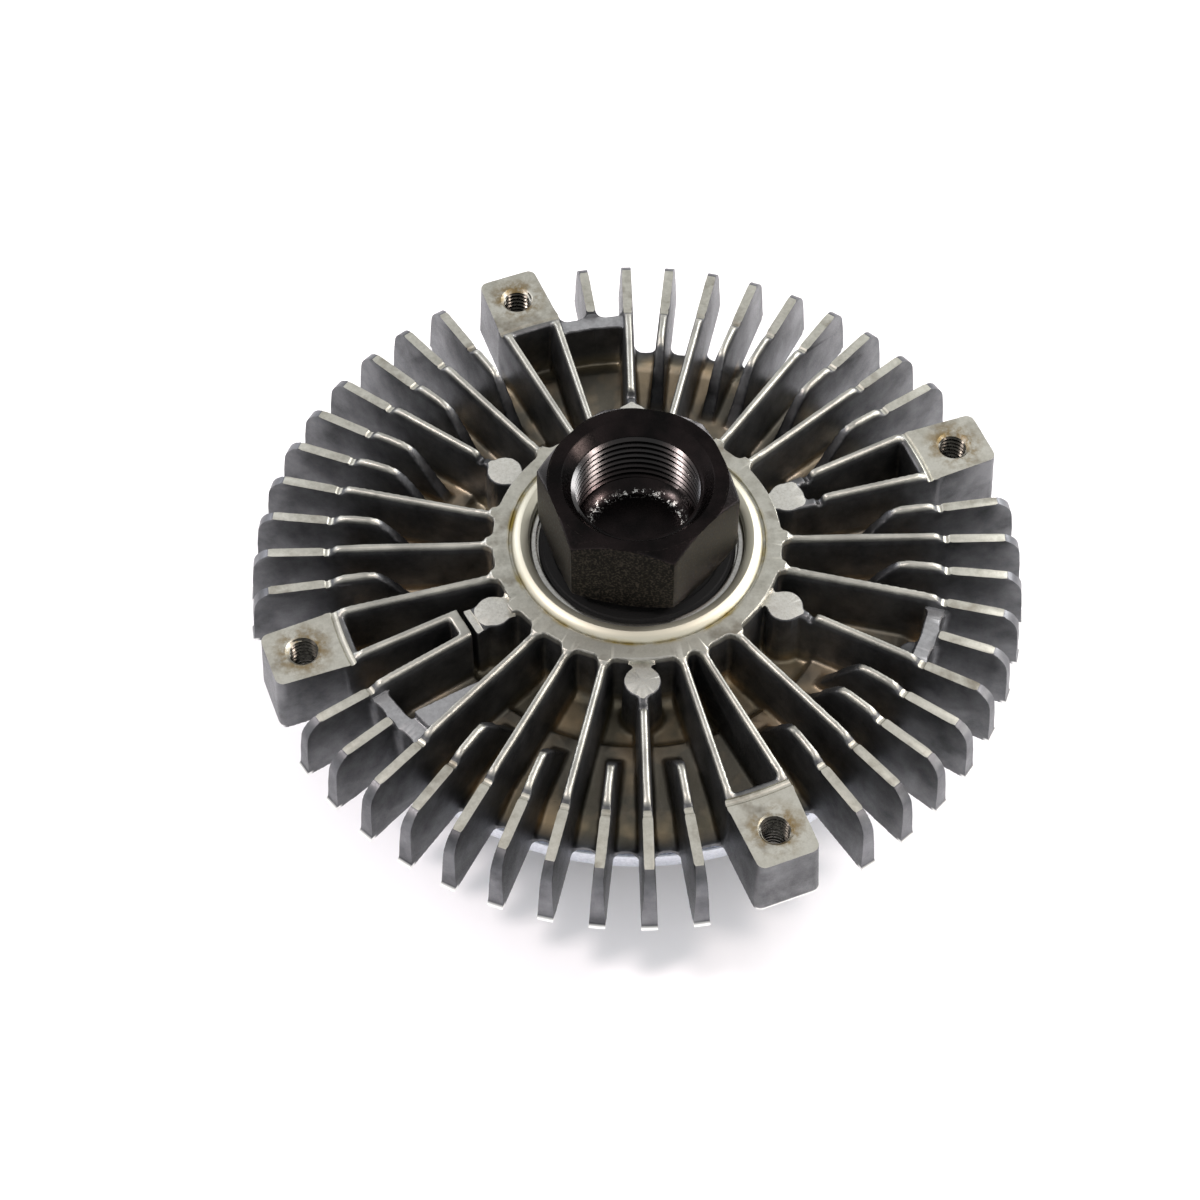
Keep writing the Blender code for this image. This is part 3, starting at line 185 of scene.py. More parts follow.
def slab(name, outlines, low, high):
    # Flat outlines in millimetres, holes among them, between two heights from the plane
    curve = bpy.data.curves.new(name, "CURVE")
    curve.dimensions = "2D"
    curve.fill_mode = "BOTH"
    curve.extrude = (high - low) / 2 * mm
    for outline in outlines:
        spline = curve.splines.new("POLY")
        spline.points.add(len(outline) - 1)
        spline.use_cyclic_u = True
        for point, (x, y) in zip(spline.points, outline):
            point.co = (x * mm, y * mm, 0.0, 1.0)
    obj = newObject(name, curve)
    mesh = bpy.data.meshes.new_from_object(obj.evaluated_get(bpy.context.evaluated_depsgraph_get()))
    bpy.data.objects.remove(obj, do_unlink=True)
    bm = bmesh.new()
    bm.from_mesh(mesh)
    bmesh.ops.remove_doubles(bm, verts=bm.verts, dist=0.0005 * mm)
    bmesh.ops.recalc_face_normals(bm, faces=bm.faces)
    bm.to_mesh(mesh)
    bm.free()
    mesh.transform(Matrix.Translation((0.0, 0.0, at((low + high) / 2))))
    return mesh


def block(name, nearX, nearHalf, farX, farHalf, low, high):
    # A slab across the X axis, its half width given at both ends
    return slab(name, [[(nearX, -nearHalf), (farX, -farHalf), (farX, farHalf), (nearX, nearHalf)]], low, high)


def moved(mesh, x):
    mesh.transform(Matrix.Translation((x * mm, 0.0, 0.0)))
    return mesh


def turn(degrees):
    return Matrix.Rotation(math.radians(degrees), 4, "Z")


def turnPoint(point, degrees):
    angle = math.radians(degrees)
    return (point[0] * math.cos(angle) - point[1] * math.sin(angle),
            point[0] * math.sin(angle) + point[1] * math.cos(angle))


def turnPoints(places):
    # (radius, degrees) as (x, y)
    return [turnPoint((radius, 0.0), degrees) for radius, degrees in places]


def gather(name, placed):
    bm = bmesh.new()
    for mesh, matrix in placed:
        first = len(bm.verts)
        bm.from_mesh(mesh)
        bm.verts.ensure_lookup_table()
        bmesh.ops.transform(bm, matrix=matrix, verts=bm.verts[first:])
    return meshFrom(bm, name)


def gathered(name, meshes):
    return gather(name, [(mesh, Matrix.Identity(4)) for mesh in meshes])


def applied(obj):
    # The evaluated mesh in place of the modifiers
    mesh = bpy.data.meshes.new_from_object(obj.evaluated_get(bpy.context.evaluated_depsgraph_get()))
    obj.modifiers.clear()
    obj.data = mesh
    return obj


def smooth(obj, sharpDeg=35.0):
    obj.data.shade_smooth()
    obj.data.set_sharp_from_angle(angle=math.radians(sharpDeg))


def cut(obj, mesh, skin):
    # Takes a mesh away; the faces it leaves get the skin
    cutter = newObject(mesh.name, mesh, skin)
    boolean = obj.modifiers.new(mesh.name, "BOOLEAN")
    boolean.operation = "DIFFERENCE"
    boolean.solver = "MANIFOLD"
    boolean.object = cutter
    boolean.material_mode = "TRANSFER"
    applied(obj)
    bpy.data.objects.remove(cutter, do_unlink=True)


def copiesTree(name, material):
    # One copy of a part for each point, turned about the axis by the point's own angle
    tree = bpy.data.node_groups.new(name, "GeometryNodeTree")
    tree.interface.new_socket("Points", in_out="INPUT", socket_type="NodeSocketGeometry")
    tree.interface.new_socket("Part", in_out="INPUT", socket_type="NodeSocketObject")
    tree.interface.new_socket("Copies", in_out="OUTPUT", socket_type="NodeSocketGeometry")
    source = addNode(tree, "NodeGroupInput")
    part = addNode(tree, "GeometryNodeObjectInfo", {"Object": source.outputs["Part"]})
    angle = addNode(tree, "GeometryNodeInputNamedAttribute", {"Name": "turn"}, data_type="FLOAT")
    spin = addNode(tree, "ShaderNodeCombineXYZ", {"Z": angle.outputs["Attribute"]})
    copies = addNode(tree, "GeometryNodeInstanceOnPoints",
                     {"Points": source.outputs["Points"], "Instance": part.outputs["Geometry"],
                      "Rotation": spin.outputs["Vector"]})
    real = addNode(tree, "GeometryNodeRealizeInstances", {"Geometry": copies.outputs["Instances"]})
    finish = addNode(tree, "GeometryNodeSetMaterial", {"Geometry": real.outputs["Geometry"],
                                                       "Material": material})
    addNode(tree, "NodeGroupOutput", {"Copies": finish.outputs["Geometry"]})
    return tree


def copiesRound(name, mesh, anglesDeg, material):
    # Copies of a mesh turned to each angle, as one plain mesh
    part = newObject(name + "Part", mesh)
    points = bpy.data.meshes.new(name)
    points.from_pydata([(0.0, 0.0, 0.0)] * len(anglesDeg), [], [])
    attribute = points.attributes.new("turn", "FLOAT", "POINT")
    for item, degrees in zip(attribute.data, anglesDeg):
        item.value = math.radians(degrees)
    obj = newObject(name, points)
    modifier = obj.modifiers.new("copies", "NODES")
    modifier.node_group = copiesTree(name + "Tree", material)
    identifier = next(item.identifier
                      for item in modifier.node_group.interface.items_tree if item.name == "Part")
    modifier[identifier] = part
    applied(obj)
    bpy.data.objects.remove(part, do_unlink=True)
    result = obj.data
    bpy.data.objects.remove(obj, do_unlink=True)
    return result


def evenly(count, startDeg=0.0):
    return [startDeg + 360.0 * i / count for i in range(count)]


def placePiece(obj, body, slot, *nodes):
    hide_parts(*nodes)
    if body:
        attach(obj, body)


def turnedPiece(node, body, slot, profile, columns, skin):
    # A piece turned on a lathe keeps its solid's profile, with round sides and broken edges
    obj = newObject(node + "Fine", turnedMesh(node, profile, columns), skin)
    smooth(obj)
    placePiece(obj, body, slot, node)


# Rear housing's sizes in millimetres, heights from the machined plane

housing = {
    "finPitchDeg": 7.2, "bossAngleDeg": 20.83, "slots": 12,
    "longFins": (0, 2, 5, 7, 12, 14, 16, 19, 24, 26, 28, 30, 32, 36, 38, 41, 43),
    "webFins": (47, 15, 31), "postFins": (0, 16, 24, 41), "loopFin": 32,
    "topHalf": 0.92, "draft": 0.0414, "stock": 0.35,
    "ringR": 26.5, "rimR": 57.2, "pocketFillet": 2.1,
    "floor": -10.8, "floorDeep": -12.2, "foot": -13.3,
    "bossHoleR": 64.3, "bossInnerR": 57.0, "bossOuterR": 70.7, "bossInnerHalf": 6.1, "bossOuterHalf": 5.7,
    "postCircle": 30.0, "postR": 3.35, "postRise": 0.5,
    "voxelMm": 0.38, "triangles": 172000, "ringFillet": 1.5, "crest": 0.2,
}
bossAngles = [housing["bossAngleDeg"] - 90.0 * i for i in range(4)]


# Materials

def newMaterial(name, metallic):
    material = bpy.data.materials.new(name)
    material.use_nodes = True
    tree = material.node_tree
    tree.nodes["Principled BSDF"].inputs["Metallic"].default_value = metallic
    return material, tree, addNode(tree, "ShaderNodeTexCoord").outputs["Object"]


def axisPlace(tree, place):
    # The point seen along the axis, its distance from the axis and its height
    flat = addNode(tree, "ShaderNodeVectorMath", {0: place, 1: (1.0, 1.0, 0.0)},
                   operation="MULTIPLY").outputs["Vector"]
    radius = addNode(tree, "ShaderNodeVectorMath", {0: flat}, operation="LENGTH").outputs["Value"]
    height = addNode(tree, "ShaderNodeSeparateXYZ", {"Vector": place}).outputs["Z"]
    return {"flat": flat, "radius": radius, "height": height}


def awayFrom(tree, radius, ringMm):
    # The distance from a ring round the axis
    offset = addNode(tree, "ShaderNodeMath", {0: radius, 1: ringMm * mm}, operation="SUBTRACT")
    return addNode(tree, "ShaderNodeMath", {0: offset.outputs["Value"]},
                   operation="ABSOLUTE").outputs["Value"]


def patterns(tree, place, known, noises, ranges, products):
    # Adds to the known sockets: noises of (size mm, detail, roughness), ranges of (source, from, to,
    # value at the first, value at the last) and products of two
    found = dict(known)
    for name, (size, detail, rough) in noises.items():
        inputs = {"Vector": place, "Scale": 1 / (size * mm), "Detail": detail, "Roughness": rough}
        found[name] = addNode(tree, "ShaderNodeTexNoise", inputs).outputs["Fac"]
    for name, (source, start, end, first, last) in ranges.items():
        inputs = {"Value": found[source], "From Min": start, "From Max": end, "To Min": first, "To Max": last}
        found[name] = addNode(tree, "ShaderNodeMapRange", inputs).outputs["Result"]
    for name, (one, other) in products.items():
        found[name] = addNode(tree, "ShaderNodeMath", {0: found[one], 1: found[other]},
                              operation="MULTIPLY").outputs["Value"]
    return found


def finishMaterial(tree, base, layers, roughness, relief, strength, bumpMm):
    # Colours laid over the base by their shares, then roughness and relief
    colour = srgb(base)
    for share, over in layers:
        over = srgb(over) if isinstance(over, str) else over
        colour = addNode(tree, "ShaderNodeMix", {"Factor": share, "A": colour, "B": over},
                         data_type="RGBA").outputs["Result"]
    bump = addNode(tree, "ShaderNodeBump", {"Height": relief, "Strength": strength, "Distance": bumpMm * mm})
    shader = tree.nodes["Principled BSDF"]
    ends = {"Base Color": colour, "Roughness": roughness, "Normal": bump.outputs["Normal"]}
    for name, socket in ends.items():
        tree.links.new(socket, shader.inputs[name])


# The fin tops' colour is a painted highlight, laid on with some real rubbing
castLook = {
    # The pocket deposit's stain and tan are real dirt, made lighter as painted light on the pocket floors
    "light": "#747577", "dark": "#444547", "stain": "#8d8675", "tan": "#d3bd9b", "rubbedTopHighlight": "#c2c1b8",
    "flash": "#f4f4f2", "roughness": (0.36, 0.56), "grainMm": 0.3, "blotchMm": 7.0, "bumpMm": 0.03,
}


def castAluminium(name, look):
    # Die-cast aluminium: blue-grey skin with fine pits, brown deposit in the pockets that is also lightened as
    # painted light on their floors, and the fin tops painted lighter as a painted highlight with some rubbing
    material, tree, place = newMaterial(name, 1.0)
    found = patterns(
        tree, place, axisPlace(tree, place),
        {"blotch": (look["blotchMm"], 5.0, 0.6), "grain": (look["grainMm"], 4.0, 0.7),
         "patches": (11.0, 3.0, 0.5)},
        {"spread": ("blotch", 0.32, 0.7, 0.0, 1.0), "warm": ("patches", 0.46, 0.62, 0.0, 1.0),
         "low": ("height", at(-11.9), at(-8.8), 1.0, 0.0),
         "inside": ("radius", 54.0 * mm, 57.0 * mm, 1.0, 0.0),
         # The fin tops above the plane get a painted highlight, thinned by the wear blotches
         "high": ("height", at(0.45), at(1.05), 0.0, 1.0), "worn": ("blotch", 0.3, 0.62, 1.0, 0.6),
         "foot": ("height", at(-12.75), at(-12.4), 1.0, 0.0),
         "outside": ("radius", 70.8 * mm, 71.4 * mm, 0.0, 1.0),
         "rough": ("grain", 0.3, 0.7, *look["roughness"])},
        {"depositAndPaintedFill": ("low", "inside"), "rubbingAndHighlight": ("high", "worn"), "trimmed": ("foot", "outside")})
    # Deposit colour: real brown dirt, lightened as painted light on the pocket floors
    brown = addNode(tree, "ShaderNodeMix", {"Factor": found["warm"], "A": srgb(look["stain"]),
                                            "B": srgb(look["tan"])}, data_type="RGBA").outputs["Result"]
    layers = [(found["spread"], look["dark"]), (found["depositAndPaintedFill"], brown), (found["rubbingAndHighlight"], look["rubbedTopHighlight"]),
              (found["trimmed"], look["flash"])]
    finishMaterial(tree, look["light"], layers, found["rough"], found["grain"], 0.5, look["bumpMm"])
    return material


turnedLook = {
    "light": "#cdccc2", "dark": "#9c9b91", "lip": "#c9c6b6", "oil": "#7d6a44", "residue": "#a3924a",
    "stain": "#6d6455", "roughness": (0.36, 0.54), "lipRoughness": 0.5, "ridgeMm": 0.3, "bumpMm": 0.008,
}


def turnedAluminium(name, look):
    # Face-turned aluminium: pale, finely ringed by the tool, oily round the holes, its lip burnished creamy
    material, tree, place = newMaterial(name, 1.0)
    axis = axisPlace(tree, place)
    rings = addNode(tree, "ShaderNodeTexWave", {"Vector": place, "Scale": 1 / (look["ridgeMm"] * mm * 20),
                                                "Distortion": 0.6, "Detail": 2.0},
                    wave_type="RINGS", rings_direction="Z")
    # How far the nearest of the four screw holes is
    toFirst = (0.0, 0.0, -math.radians(housing["bossAngleDeg"]))
    turned = addNode(tree, "ShaderNodeMapping", {"Vector": axis["flat"], "Rotation": toFirst})
    folded = addNode(tree, "ShaderNodeVectorMath", {0: turned.outputs["Vector"]}, operation="ABSOLUTE")
    hole = housing["bossHoleR"] * mm
    toHoles = [addNode(tree, "ShaderNodeVectorMath", {0: folded.outputs["Vector"], 1: centre},
                       operation="DISTANCE").outputs["Value"]
               for centre in ((hole, 0.0, 0.0), (0.0, hole, 0.0))]
    toHole = addNode(tree, "ShaderNodeMath", {0: toHoles[0], 1: toHoles[1]}, operation="MINIMUM")
    found = patterns(
        tree, place, dict(axis, away=awayFrom(tree, axis["radius"], 23.35), toHole=toHole.outputs["Value"]),
        {"cloud": (3.0, 6.0, 0.68), "patches": (8.0, 4.0, 0.6)},
        {"spread": ("cloud", 0.35, 0.7, 0.0, 1.0), "smear": ("patches", 0.56, 0.7, 0.0, 0.7),
         "lip": ("radius", 22.9 * mm, 23.2 * mm, 1.0, 0.0), "near": ("away", 0.15 * mm, 0.75 * mm, 1.0, 0.0),
         "dried": ("patches", 0.44, 0.6, 0.0, 1.0), "oiled": ("toHole", 3.2 * mm, 6.2 * mm, 0.9, 0.0),
         "mottled": ("cloud", 0.42, 0.6, 0.0, 1.0), "rough": ("cloud", 0.3, 0.7, *look["roughness"])},
        {"residue": ("near", "dried"), "oil": ("oiled", "mottled")})
    layers = [(found["spread"], look["dark"]), (found["smear"], look["stain"]), (found["lip"], look["lip"]),
              (found["residue"], look["residue"]), (found["oil"], look["oil"])]
    polish = addNode(tree, "ShaderNodeMix", {"Factor": found["lip"], "A": found["rough"],
                                             "B": look["lipRoughness"]}, data_type="FLOAT")
    finishMaterial(tree, look["light"], layers, polish.outputs["Result"], rings.outputs["Fac"], 0.35,
                   look["bumpMm"])
    return material


def plainMetal(name, light, dark, roughness, metallic=1.0, grainMm=0.6, bumpMm=0.01):
    # Steel or other metal with a fine uneven skin
    material, tree, place = newMaterial(name, metallic)
    found = patterns(tree, place, {}, {"grain": (grainMm, 4.0, 0.65)},
                     {"spread": ("grain", 0.35, 0.7, 0.0, 1.0), "rough": ("grain", 0.3, 0.7, *roughness)}, {})
    finishMaterial(tree, light, [(found["spread"], dark)], found["rough"], found["grain"], 0.4, bumpMm)
    return material


oxideLook = {
    "light": "#221c1c", "dark": "#100e0e", "flat": "#11100f", "flatLight": "#4a453d", "chip": "#e6e6e2",
    "roughness": (0.16, 0.3), "flatRoughness": (0.4, 0.62), "speckMm": 0.42, "chipMm": 0.8, "film": 0.8,
    "coneRise": 0.9, "coneR": 16.25,
}


def blackOxide(name, look):
    # Black oxide on steel: brownish black and glossy where machined, grey-flecked on the forged flats
    material, tree, place = newMaterial(name, 0.92)
    axis = axisPlace(tree, place)
    # How far a point lies under the chamfer's cone tells the flats from the machined faces
    reach = addNode(tree, "ShaderNodeMath", {0: axis["radius"], 1: look["coneRise"], 2: axis["height"]},
                    operation="MULTIPLY_ADD")
    edge = at(nutRise) + look["coneR"] * look["coneRise"] * mm
    found = patterns(
        tree, place, dict(axis, reach=reach.outputs["Value"]),
        {"speck": (look["speckMm"], 3.0, 0.6), "cloud": (6.0, 4.0, 0.5)},
        {"spread": ("cloud", 0.35, 0.65, 0.0, 1.0), "rough": ("speck", 0.35, 0.65, *look["roughness"]),
         "under": ("reach", edge - 0.34 * mm, edge - 0.16 * mm, 1.0, 0.0),
         "outer": ("radius", 15.93 * mm, 15.99 * mm, 0.0, 1.0), "fleck": ("speck", 0.47, 0.66, 0.0, 1.0),
         "dull": ("speck", 0.35, 0.65, *look["flatRoughness"])},
        {"flats": ("under", "outer")})
    forged = addNode(tree, "ShaderNodeMix", {"Factor": found["fleck"], "A": srgb(look["flat"]),
                                             "B": srgb(look["flatLight"])}, data_type="RGBA").outputs["Result"]
    layers = [(found["spread"], look["dark"]), (found["flats"], forged)]
    roughness = addNode(tree, "ShaderNodeMix", {"Factor": found["flats"], "A": found["rough"],
                                                "B": found["dull"]}, data_type="FLOAT")
    finishMaterial(tree, look["light"], layers, roughness.outputs["Result"], found["speck"], 0.3, 0.012)
    return material


def oiledOxide(name, look):
    # The same steel in the bore: a film of oil that shines on the thread, and swarf left round the floor
    material, tree, place = newMaterial(name, 0.92)
    axis = axisPlace(tree, place)
    found = patterns(
        tree, place, dict(axis, away=awayFrom(tree, axis["radius"], 8.8)),
        {"speck": (look["speckMm"], 3.0, 0.6), "cloud": (6.0, 4.0, 0.5),
         "chip": (look["chipMm"], 4.0, 0.75)},
        {"spread": ("cloud", 0.35, 0.65, 0.0, 1.0), "rough": ("speck", 0.35, 0.65, *look["roughness"]),
         "film": ("height", at(6.0), at(12.0), 0.06, look["film"]),
         "near": ("away", 0.3 * mm, 1.1 * mm, 1.0, 0.0),
         "fleck": ("chip", 0.55, 0.6, 0.0, 1.0)},
        {"bright": ("near", "fleck")})
    layers = [(found["spread"], look["dark"]), (found["bright"], look["chip"])]
    shader = tree.nodes["Principled BSDF"]
    tree.links.new(found["film"], shader.inputs["Coat Weight"])
    shader.inputs["Coat Roughness"].default_value = 0.2
    finishMaterial(tree, look["light"], layers, found["rough"], found["speck"], 0.3, 0.012)
    return material


housingSkin = castAluminium("dieCastAluminium", castLook)
coverSkin = castAluminium("coverCastAluminium", dict(castLook, stain="#6c6d6f", tan="#818286",
                                                     rubbedTopHighlight="#8b8d90"))
endSkin = castAluminium("trimmedCastAluminium", dict(castLook, light="#77787b", dark="#4a4b4e"))
turnedSkin = turnedAluminium("turnedAluminium", turnedLook)
bandSkin = plainMetal("turnedRimAluminium", "#dfe3ea", "#c4c8d0", (0.3, 0.44))  # bright bluish lathe finish
shadedTapSkin = plainMetal("tappedAluminium", "#55534d", "#272523", (0.16, 0.32))  # oily cut thread, darkened as painted shade inside the holes
oxideSkin = blackOxide("blackOxideSteel", oxideLook)
oiledBore = oiledOxide("oiledBlackBore", oxideLook)
bearingSteel = plainMetal("groundBearingSteel", "#c9c8c4", "#aeada8", (0.14, 0.26))  # bright, near mirror
ballSteel = plainMetal("polishedBallSteel", "#d8d8d8", "#cfcfcf", (0.06, 0.12))  # mirror
pressedSteel = plainMetal("pressedSheetSteel", "#aaa9a5", "#8f8e8a", (0.28, 0.42))  # satin grey sheet
# Dull black
rubber = plainMetal("blackNitrileRubber", "#0f0f0f", "#080808", (0.5, 0.7), metallic=0.0, grainMm=0.3)
rubber.node_tree.nodes["Principled BSDF"].inputs["Specular IOR Level"].default_value = 0.25
rotorSkin = plainMetal("turnedRotorAluminium", "#b9b8b4", "#9b9a96", (0.24, 0.4))  # fine turned grey
bimetalSkin = plainMetal("rolledBimetalBrass", "#a88f62", "#8b754e", (0.26, 0.4))  # the coil's brassy side
springSkin = plainMetal("rolledBimetalSteel", "#8f8f8e", "#747473", (0.26, 0.4))  # the coil's steel side
# Dark satin plastic
wiperPlastic = plainMetal("mouldedNylon", "#3a3631", "#2c2925", (0.4, 0.55), metallic=0.0)
# Bright, torn
millSkin = plainMetal("milledAluminium", "#e6e5de", "#bdbcb4", (0.3, 0.5), grainMm=0.7, bumpMm=0.05)
# Web and gusset tops: the cast skin painted pale as painted light on lands that face up, its finer grain the
# smoother cast finish
paintedLitWebSkin = plainMetal("fineCastAluminium", "#b6b7b9", "#98999b", (0.36, 0.5), grainMm=1.0, bumpMm=0.02)
print("materials made")

# Rear housing: as-cast body first, then turned and tapped as the real one is

def slotAngle(slot):
    slots = housing["slots"]
    quadrant = round((slot % (4 * slots) - 3.5) / slots)
    place = slot % (4 * slots) - (3.5 + slots * quadrant)
    return housing["bossAngleDeg"] + 45.0 - 90.0 * quadrant - housing["finPitchDeg"] * place


def finHalf(height):
    return housing["topHalf"] - height * housing["draft"]


def finMesh(name, outline, crestEnd=56.3):
    # A side outline in (radius, height), drafted thicker towards its foot, its cast crest drawn in
    mesh = slab(name, [outline], -housing["topHalf"], housing["topHalf"])
    bm = bmesh.new()
    bm.from_mesh(mesh)
    for height in (-0.35, 0.7):
        parts = bm.verts[:] + bm.edges[:] + bm.faces[:]
        bmesh.ops.bisect_plane(bm, geom=parts, plane_co=(0.0, height * mm, 0.0), plane_no=(0.0, 1.0, 0.0))
    for vert in bm.verts:
        x, height, side = vert.co.x, vert.co.y, vert.co.z - planeZ
        half = finHalf(height / mm)
        if x < crestEnd * mm:
            half -= max(0.0, height / mm + 0.35) * housing["crest"]
        vert.co = (x, math.copysign(half * mm, side), planeZ + height)
    bm.to_mesh(mesh)
    bm.free()
    return mesh


def finEnd():
    # The outer end of every fin: round corner, drafted wall and the flash at its foot
    points = arc((footR - 6.3, -4.6), (4.95, 4.95), 90.0, 6.0, 10)
    return points + [(footR - 0.93, -7.5), (footR - 0.68, -10.7), (footR - 0.5, -12.3),
                     (footR - 0.06, -12.75), (footR - 0.02, housing["foot"])]


def finOuter():
    # Cast slope into the notch, then stock for the turned face and the trimmed end
    points = [(54.7, 1.35), (55.4, 1.0), (56.2, 0.25), (56.9, -0.2), (57.5, -0.15), (57.8, housing["stock"])]
    points += [(radius + 0.45, height) for radius, height in finEnd()]
    return points + [(footR + 0.4, housing["foot"] - 0.3)]


def finOutlines():
    low = -13.4
    postR = housing["postCircle"]
    root = [(56.4, housing["foot"] - 0.3), (55.6, -13.8), (52.9, -13.2)]
    toRing = root + [(38.5, -12.4), (35.5, low)]
    nose = [(38.2, -13.0), (39.7, -11.1), (43.0, -6.4), (44.3, -3.9), (46.0, -1.5), (47.3, 0.25), (48.3, 1.1),
            (49.8, 1.55), (51.8, 1.6)]
    return {
        "long": [(24.6, low), (24.6, 2.0), (27.6, 1.85), (32.6, 1.65), (44.0, 1.5)] + finOuter() + toRing,
        "post": [(postR, low), (postR, 0.3), (34.6, 0.3), (35.1, -0.6), (35.6, -0.7), (36.3, 1.3),
                 (37.4, 1.6)] + finOuter() + toRing,
        "loop": [(36.6, low), (36.6, 1.5)] + finOuter() + root + [(38.5, -12.4)],
        "short": nose + finOuter() + root + [(38.4, -13.3)],
        "web": [(56.0, -12.9), (56.0, -2.0), (57.0, -1.0)] + finOuter()[5:] + [(56.4, housing["foot"])],
    }


def ribMesh(side, innerX, toPost):
    slope = (housing["bossInnerHalf"] - housing["topHalf"] - 1.9) / (57.0 - housing["ringR"])
    lateral = 1.9 + slope * (innerX - housing["ringR"])
    lean = math.atan(slope)
    length = (58.4 - innerX) / math.cos(lean)
    rise = 2.0 if innerX < housing["ringR"] else 1.5
    start = [(0.0, -13.4), (0.0, rise), (4.0, (rise + 1.5) / 2)]
    if toPost:
        start = [(0.0, -13.4), (0.0, 0.3), (4.6, 0.3), (5.1, -0.6), (5.6, -0.7), (6.3, 1.3), (7.4, 1.5)]
    outline = start + [(length - 3.7, 1.4), (length - 2.9, 1.0), (length - 1.9, 0.35), (length, 0.3),
                       (length, -12.2), (38.5 - innerX, -12.2), (35.5 - innerX, -13.4)]
    mesh = finMesh("rib", outline, length - 1.6)
    mesh.transform(Matrix.Translation((innerX * mm, side * lateral * mm, 0.0))
                   @ Matrix.Rotation(side * lean, 4, "Z"))
    return mesh


def ribs():
    # Two to each boss; those of the first start at its post, and one of the third ends at the loop
    placed = []
    for index, angle in enumerate(bossAngles):
        for side in (-1, 1):
            innerX = 35.9 if index == 2 and side == 1 else 24.8
            if index == 0:
                innerX = housing["postCircle"]
            placed.append((ribMesh(side, innerX, index == 0), turn(angle)))
    return gather("ribs", placed)


def bossOutline(grow):
    outer = housing["bossOuterR"] + grow
    halfIn = housing["bossInnerHalf"] + grow * 0.45
    halfOut = housing["bossOuterHalf"] + grow * 0.6
    inner = housing["bossInnerR"]
    corners = []
    for side in (-1, 1):
        start = min(90.0 * side, 0.0)
        corners += arc((outer - 1.5, side * (halfOut - 1.5)), (1.5, 1.5), start, start + 90.0, 5)
    return [(inner, -halfIn)] + corners + [(inner, halfIn)]


def bossMesh():
    high = bossOutline(0.0)
    low = bossOutline(0.9)
    mesh = slab("boss", [high], housing["foot"], housing["stock"])
    for vert in mesh.vertices:
        if vert.co.z < at(-6.0):
            nearest = min(range(len(high)), key=lambda i: (Vector(high[i]) * mm - vert.co.xy).length)
            x, y = low[nearest]
            vert.co = (x * mm, y * mm, vert.co.z)
    return mesh


def postAngles():
    loop = (slotAngle(housing["loopFin"]) + housing["bossAngleDeg"] - 180.0 + 4.64) / 2
    return [slotAngle(slot) for slot in housing["postFins"]] + [housing["bossAngleDeg"], loop]


def postMesh():
    profile = [(0.0, -14.0), (3.95, -14.0), (3.75, -11.0), (housing["postR"], housing["postRise"]),
               (0.0, housing["postRise"])]
    return moved(turnedMesh("post", profile[::-1], 28), housing["postCircle"])


def pocket(leftDeg, leftHalf, rightDeg, rightHalf, radius, fillet):
    # The rounded inner end of the gap between two fins
    points = []
    for degrees, half, side in ((leftDeg, leftHalf, -1), (rightDeg, rightHalf, 1)):
        lateral = half + fillet
        centreX = math.sqrt((radius + fillet) ** 2 - lateral ** 2)
        wallDeg = 180.0 - math.degrees(math.asin(lateral / (radius + fillet)))
        bend = arc((centreX, side * lateral), (fillet, fillet), -90.0 * side, -wallDeg * side, 5)
        points += [turnPoint(point, degrees) for point in (bend[::-1] if side > 0 else bend)]
    return points


def scallops(members, radius, fillet):
    # The outline left between members that cross a circle, clockwise, with a fillet in every corner
    outline = []
    for index, (degrees, half) in enumerate(members):
        nextDeg, nextHalf = members[(index + 1) % len(members)]
        gap = 2 * radius * math.sin(math.radians((degrees - nextDeg) % 360.0) / 2) - half - nextHalf
        outline += pocket(degrees, half, nextDeg, nextHalf, radius, min(fillet, gap * 0.45))
    return outline


def rimLedge():
    members = []
    for slot in range(4 * housing["slots"]):
        place = (slot - 9) % housing["slots"]
        if place == 0:
            members.append((slotAngle(slot - 1) - 12.6, 6.1))
        elif place > 1:
            members.append((slotAngle(slot), finHalf(housing["foot"]) - 0.15))
    outline = scallops(members, housing["rimR"], housing["pocketFillet"])
    return slab("rimLedge", [outline, circle(52.6, 96)], housing["foot"], -12.55)


def ringRoots():
    # Fillets where the long fins and the ribs run into the ring
    members = [(slotAngle(slot), 0.98) for slot in housing["longFins"] if slot not in housing["postFins"]]
    spread = math.degrees(math.asin(1.9 / housing["ringR"]))
    for index, sides in ((1, (1, -1)), (2, (-1,)), (3, (1, -1))):
        members += [(bossAngles[index] + spread * side, 0.95) for side in sides]
    members.sort(key=lambda member: -((member[0] - 90.0) % 360.0))
    outline = scallops(members, housing["ringR"], housing["ringFillet"])
    return slab("ringRoots", [outline, circle(24.4, 96)], -11.6, 2.35)


def webs():
    half = finHalf(0.0) - 0.1
    meshes = []
    for slot in housing["webFins"]:
        middle = slotAngle(slot)
        before = slotAngle(slot - 1) if slot != 47 else middle + housing["finPitchDeg"]
        after = slotAngle(slot + 1)
        outline = pocket(before, half, middle, half, housing["rimR"], housing["pocketFillet"])
        outline += pocket(middle, half, after, half, housing["rimR"], housing["pocketFillet"])
        outline += turnPoints([(54.3, angle) for angle in (after, middle, before)])
        meshes.append(slab("web", [outline], -13.1, -1.4))
    return gathered("webs", meshes)


def ledges():
    # Low lands at the foot of two webs, left by the die
    gusset = turnPoints(((53.5, 221.7), (53.7, 227.3), (39.4, 227.3), (39.6, 226.1)))
    nub = [turnPoint(point, slotAngle(15)) for point in ((54.6, -0.6), (54.6, -5.8), (51.6, -5.4),
                                                         (51.4, -2.6), (52.4, -1.2))]
    return gathered("ledges", [slab("gusset", [gusset[::-1]], -11.5, -0.5), slab("nub", [nub], -11.5, -3.0)])


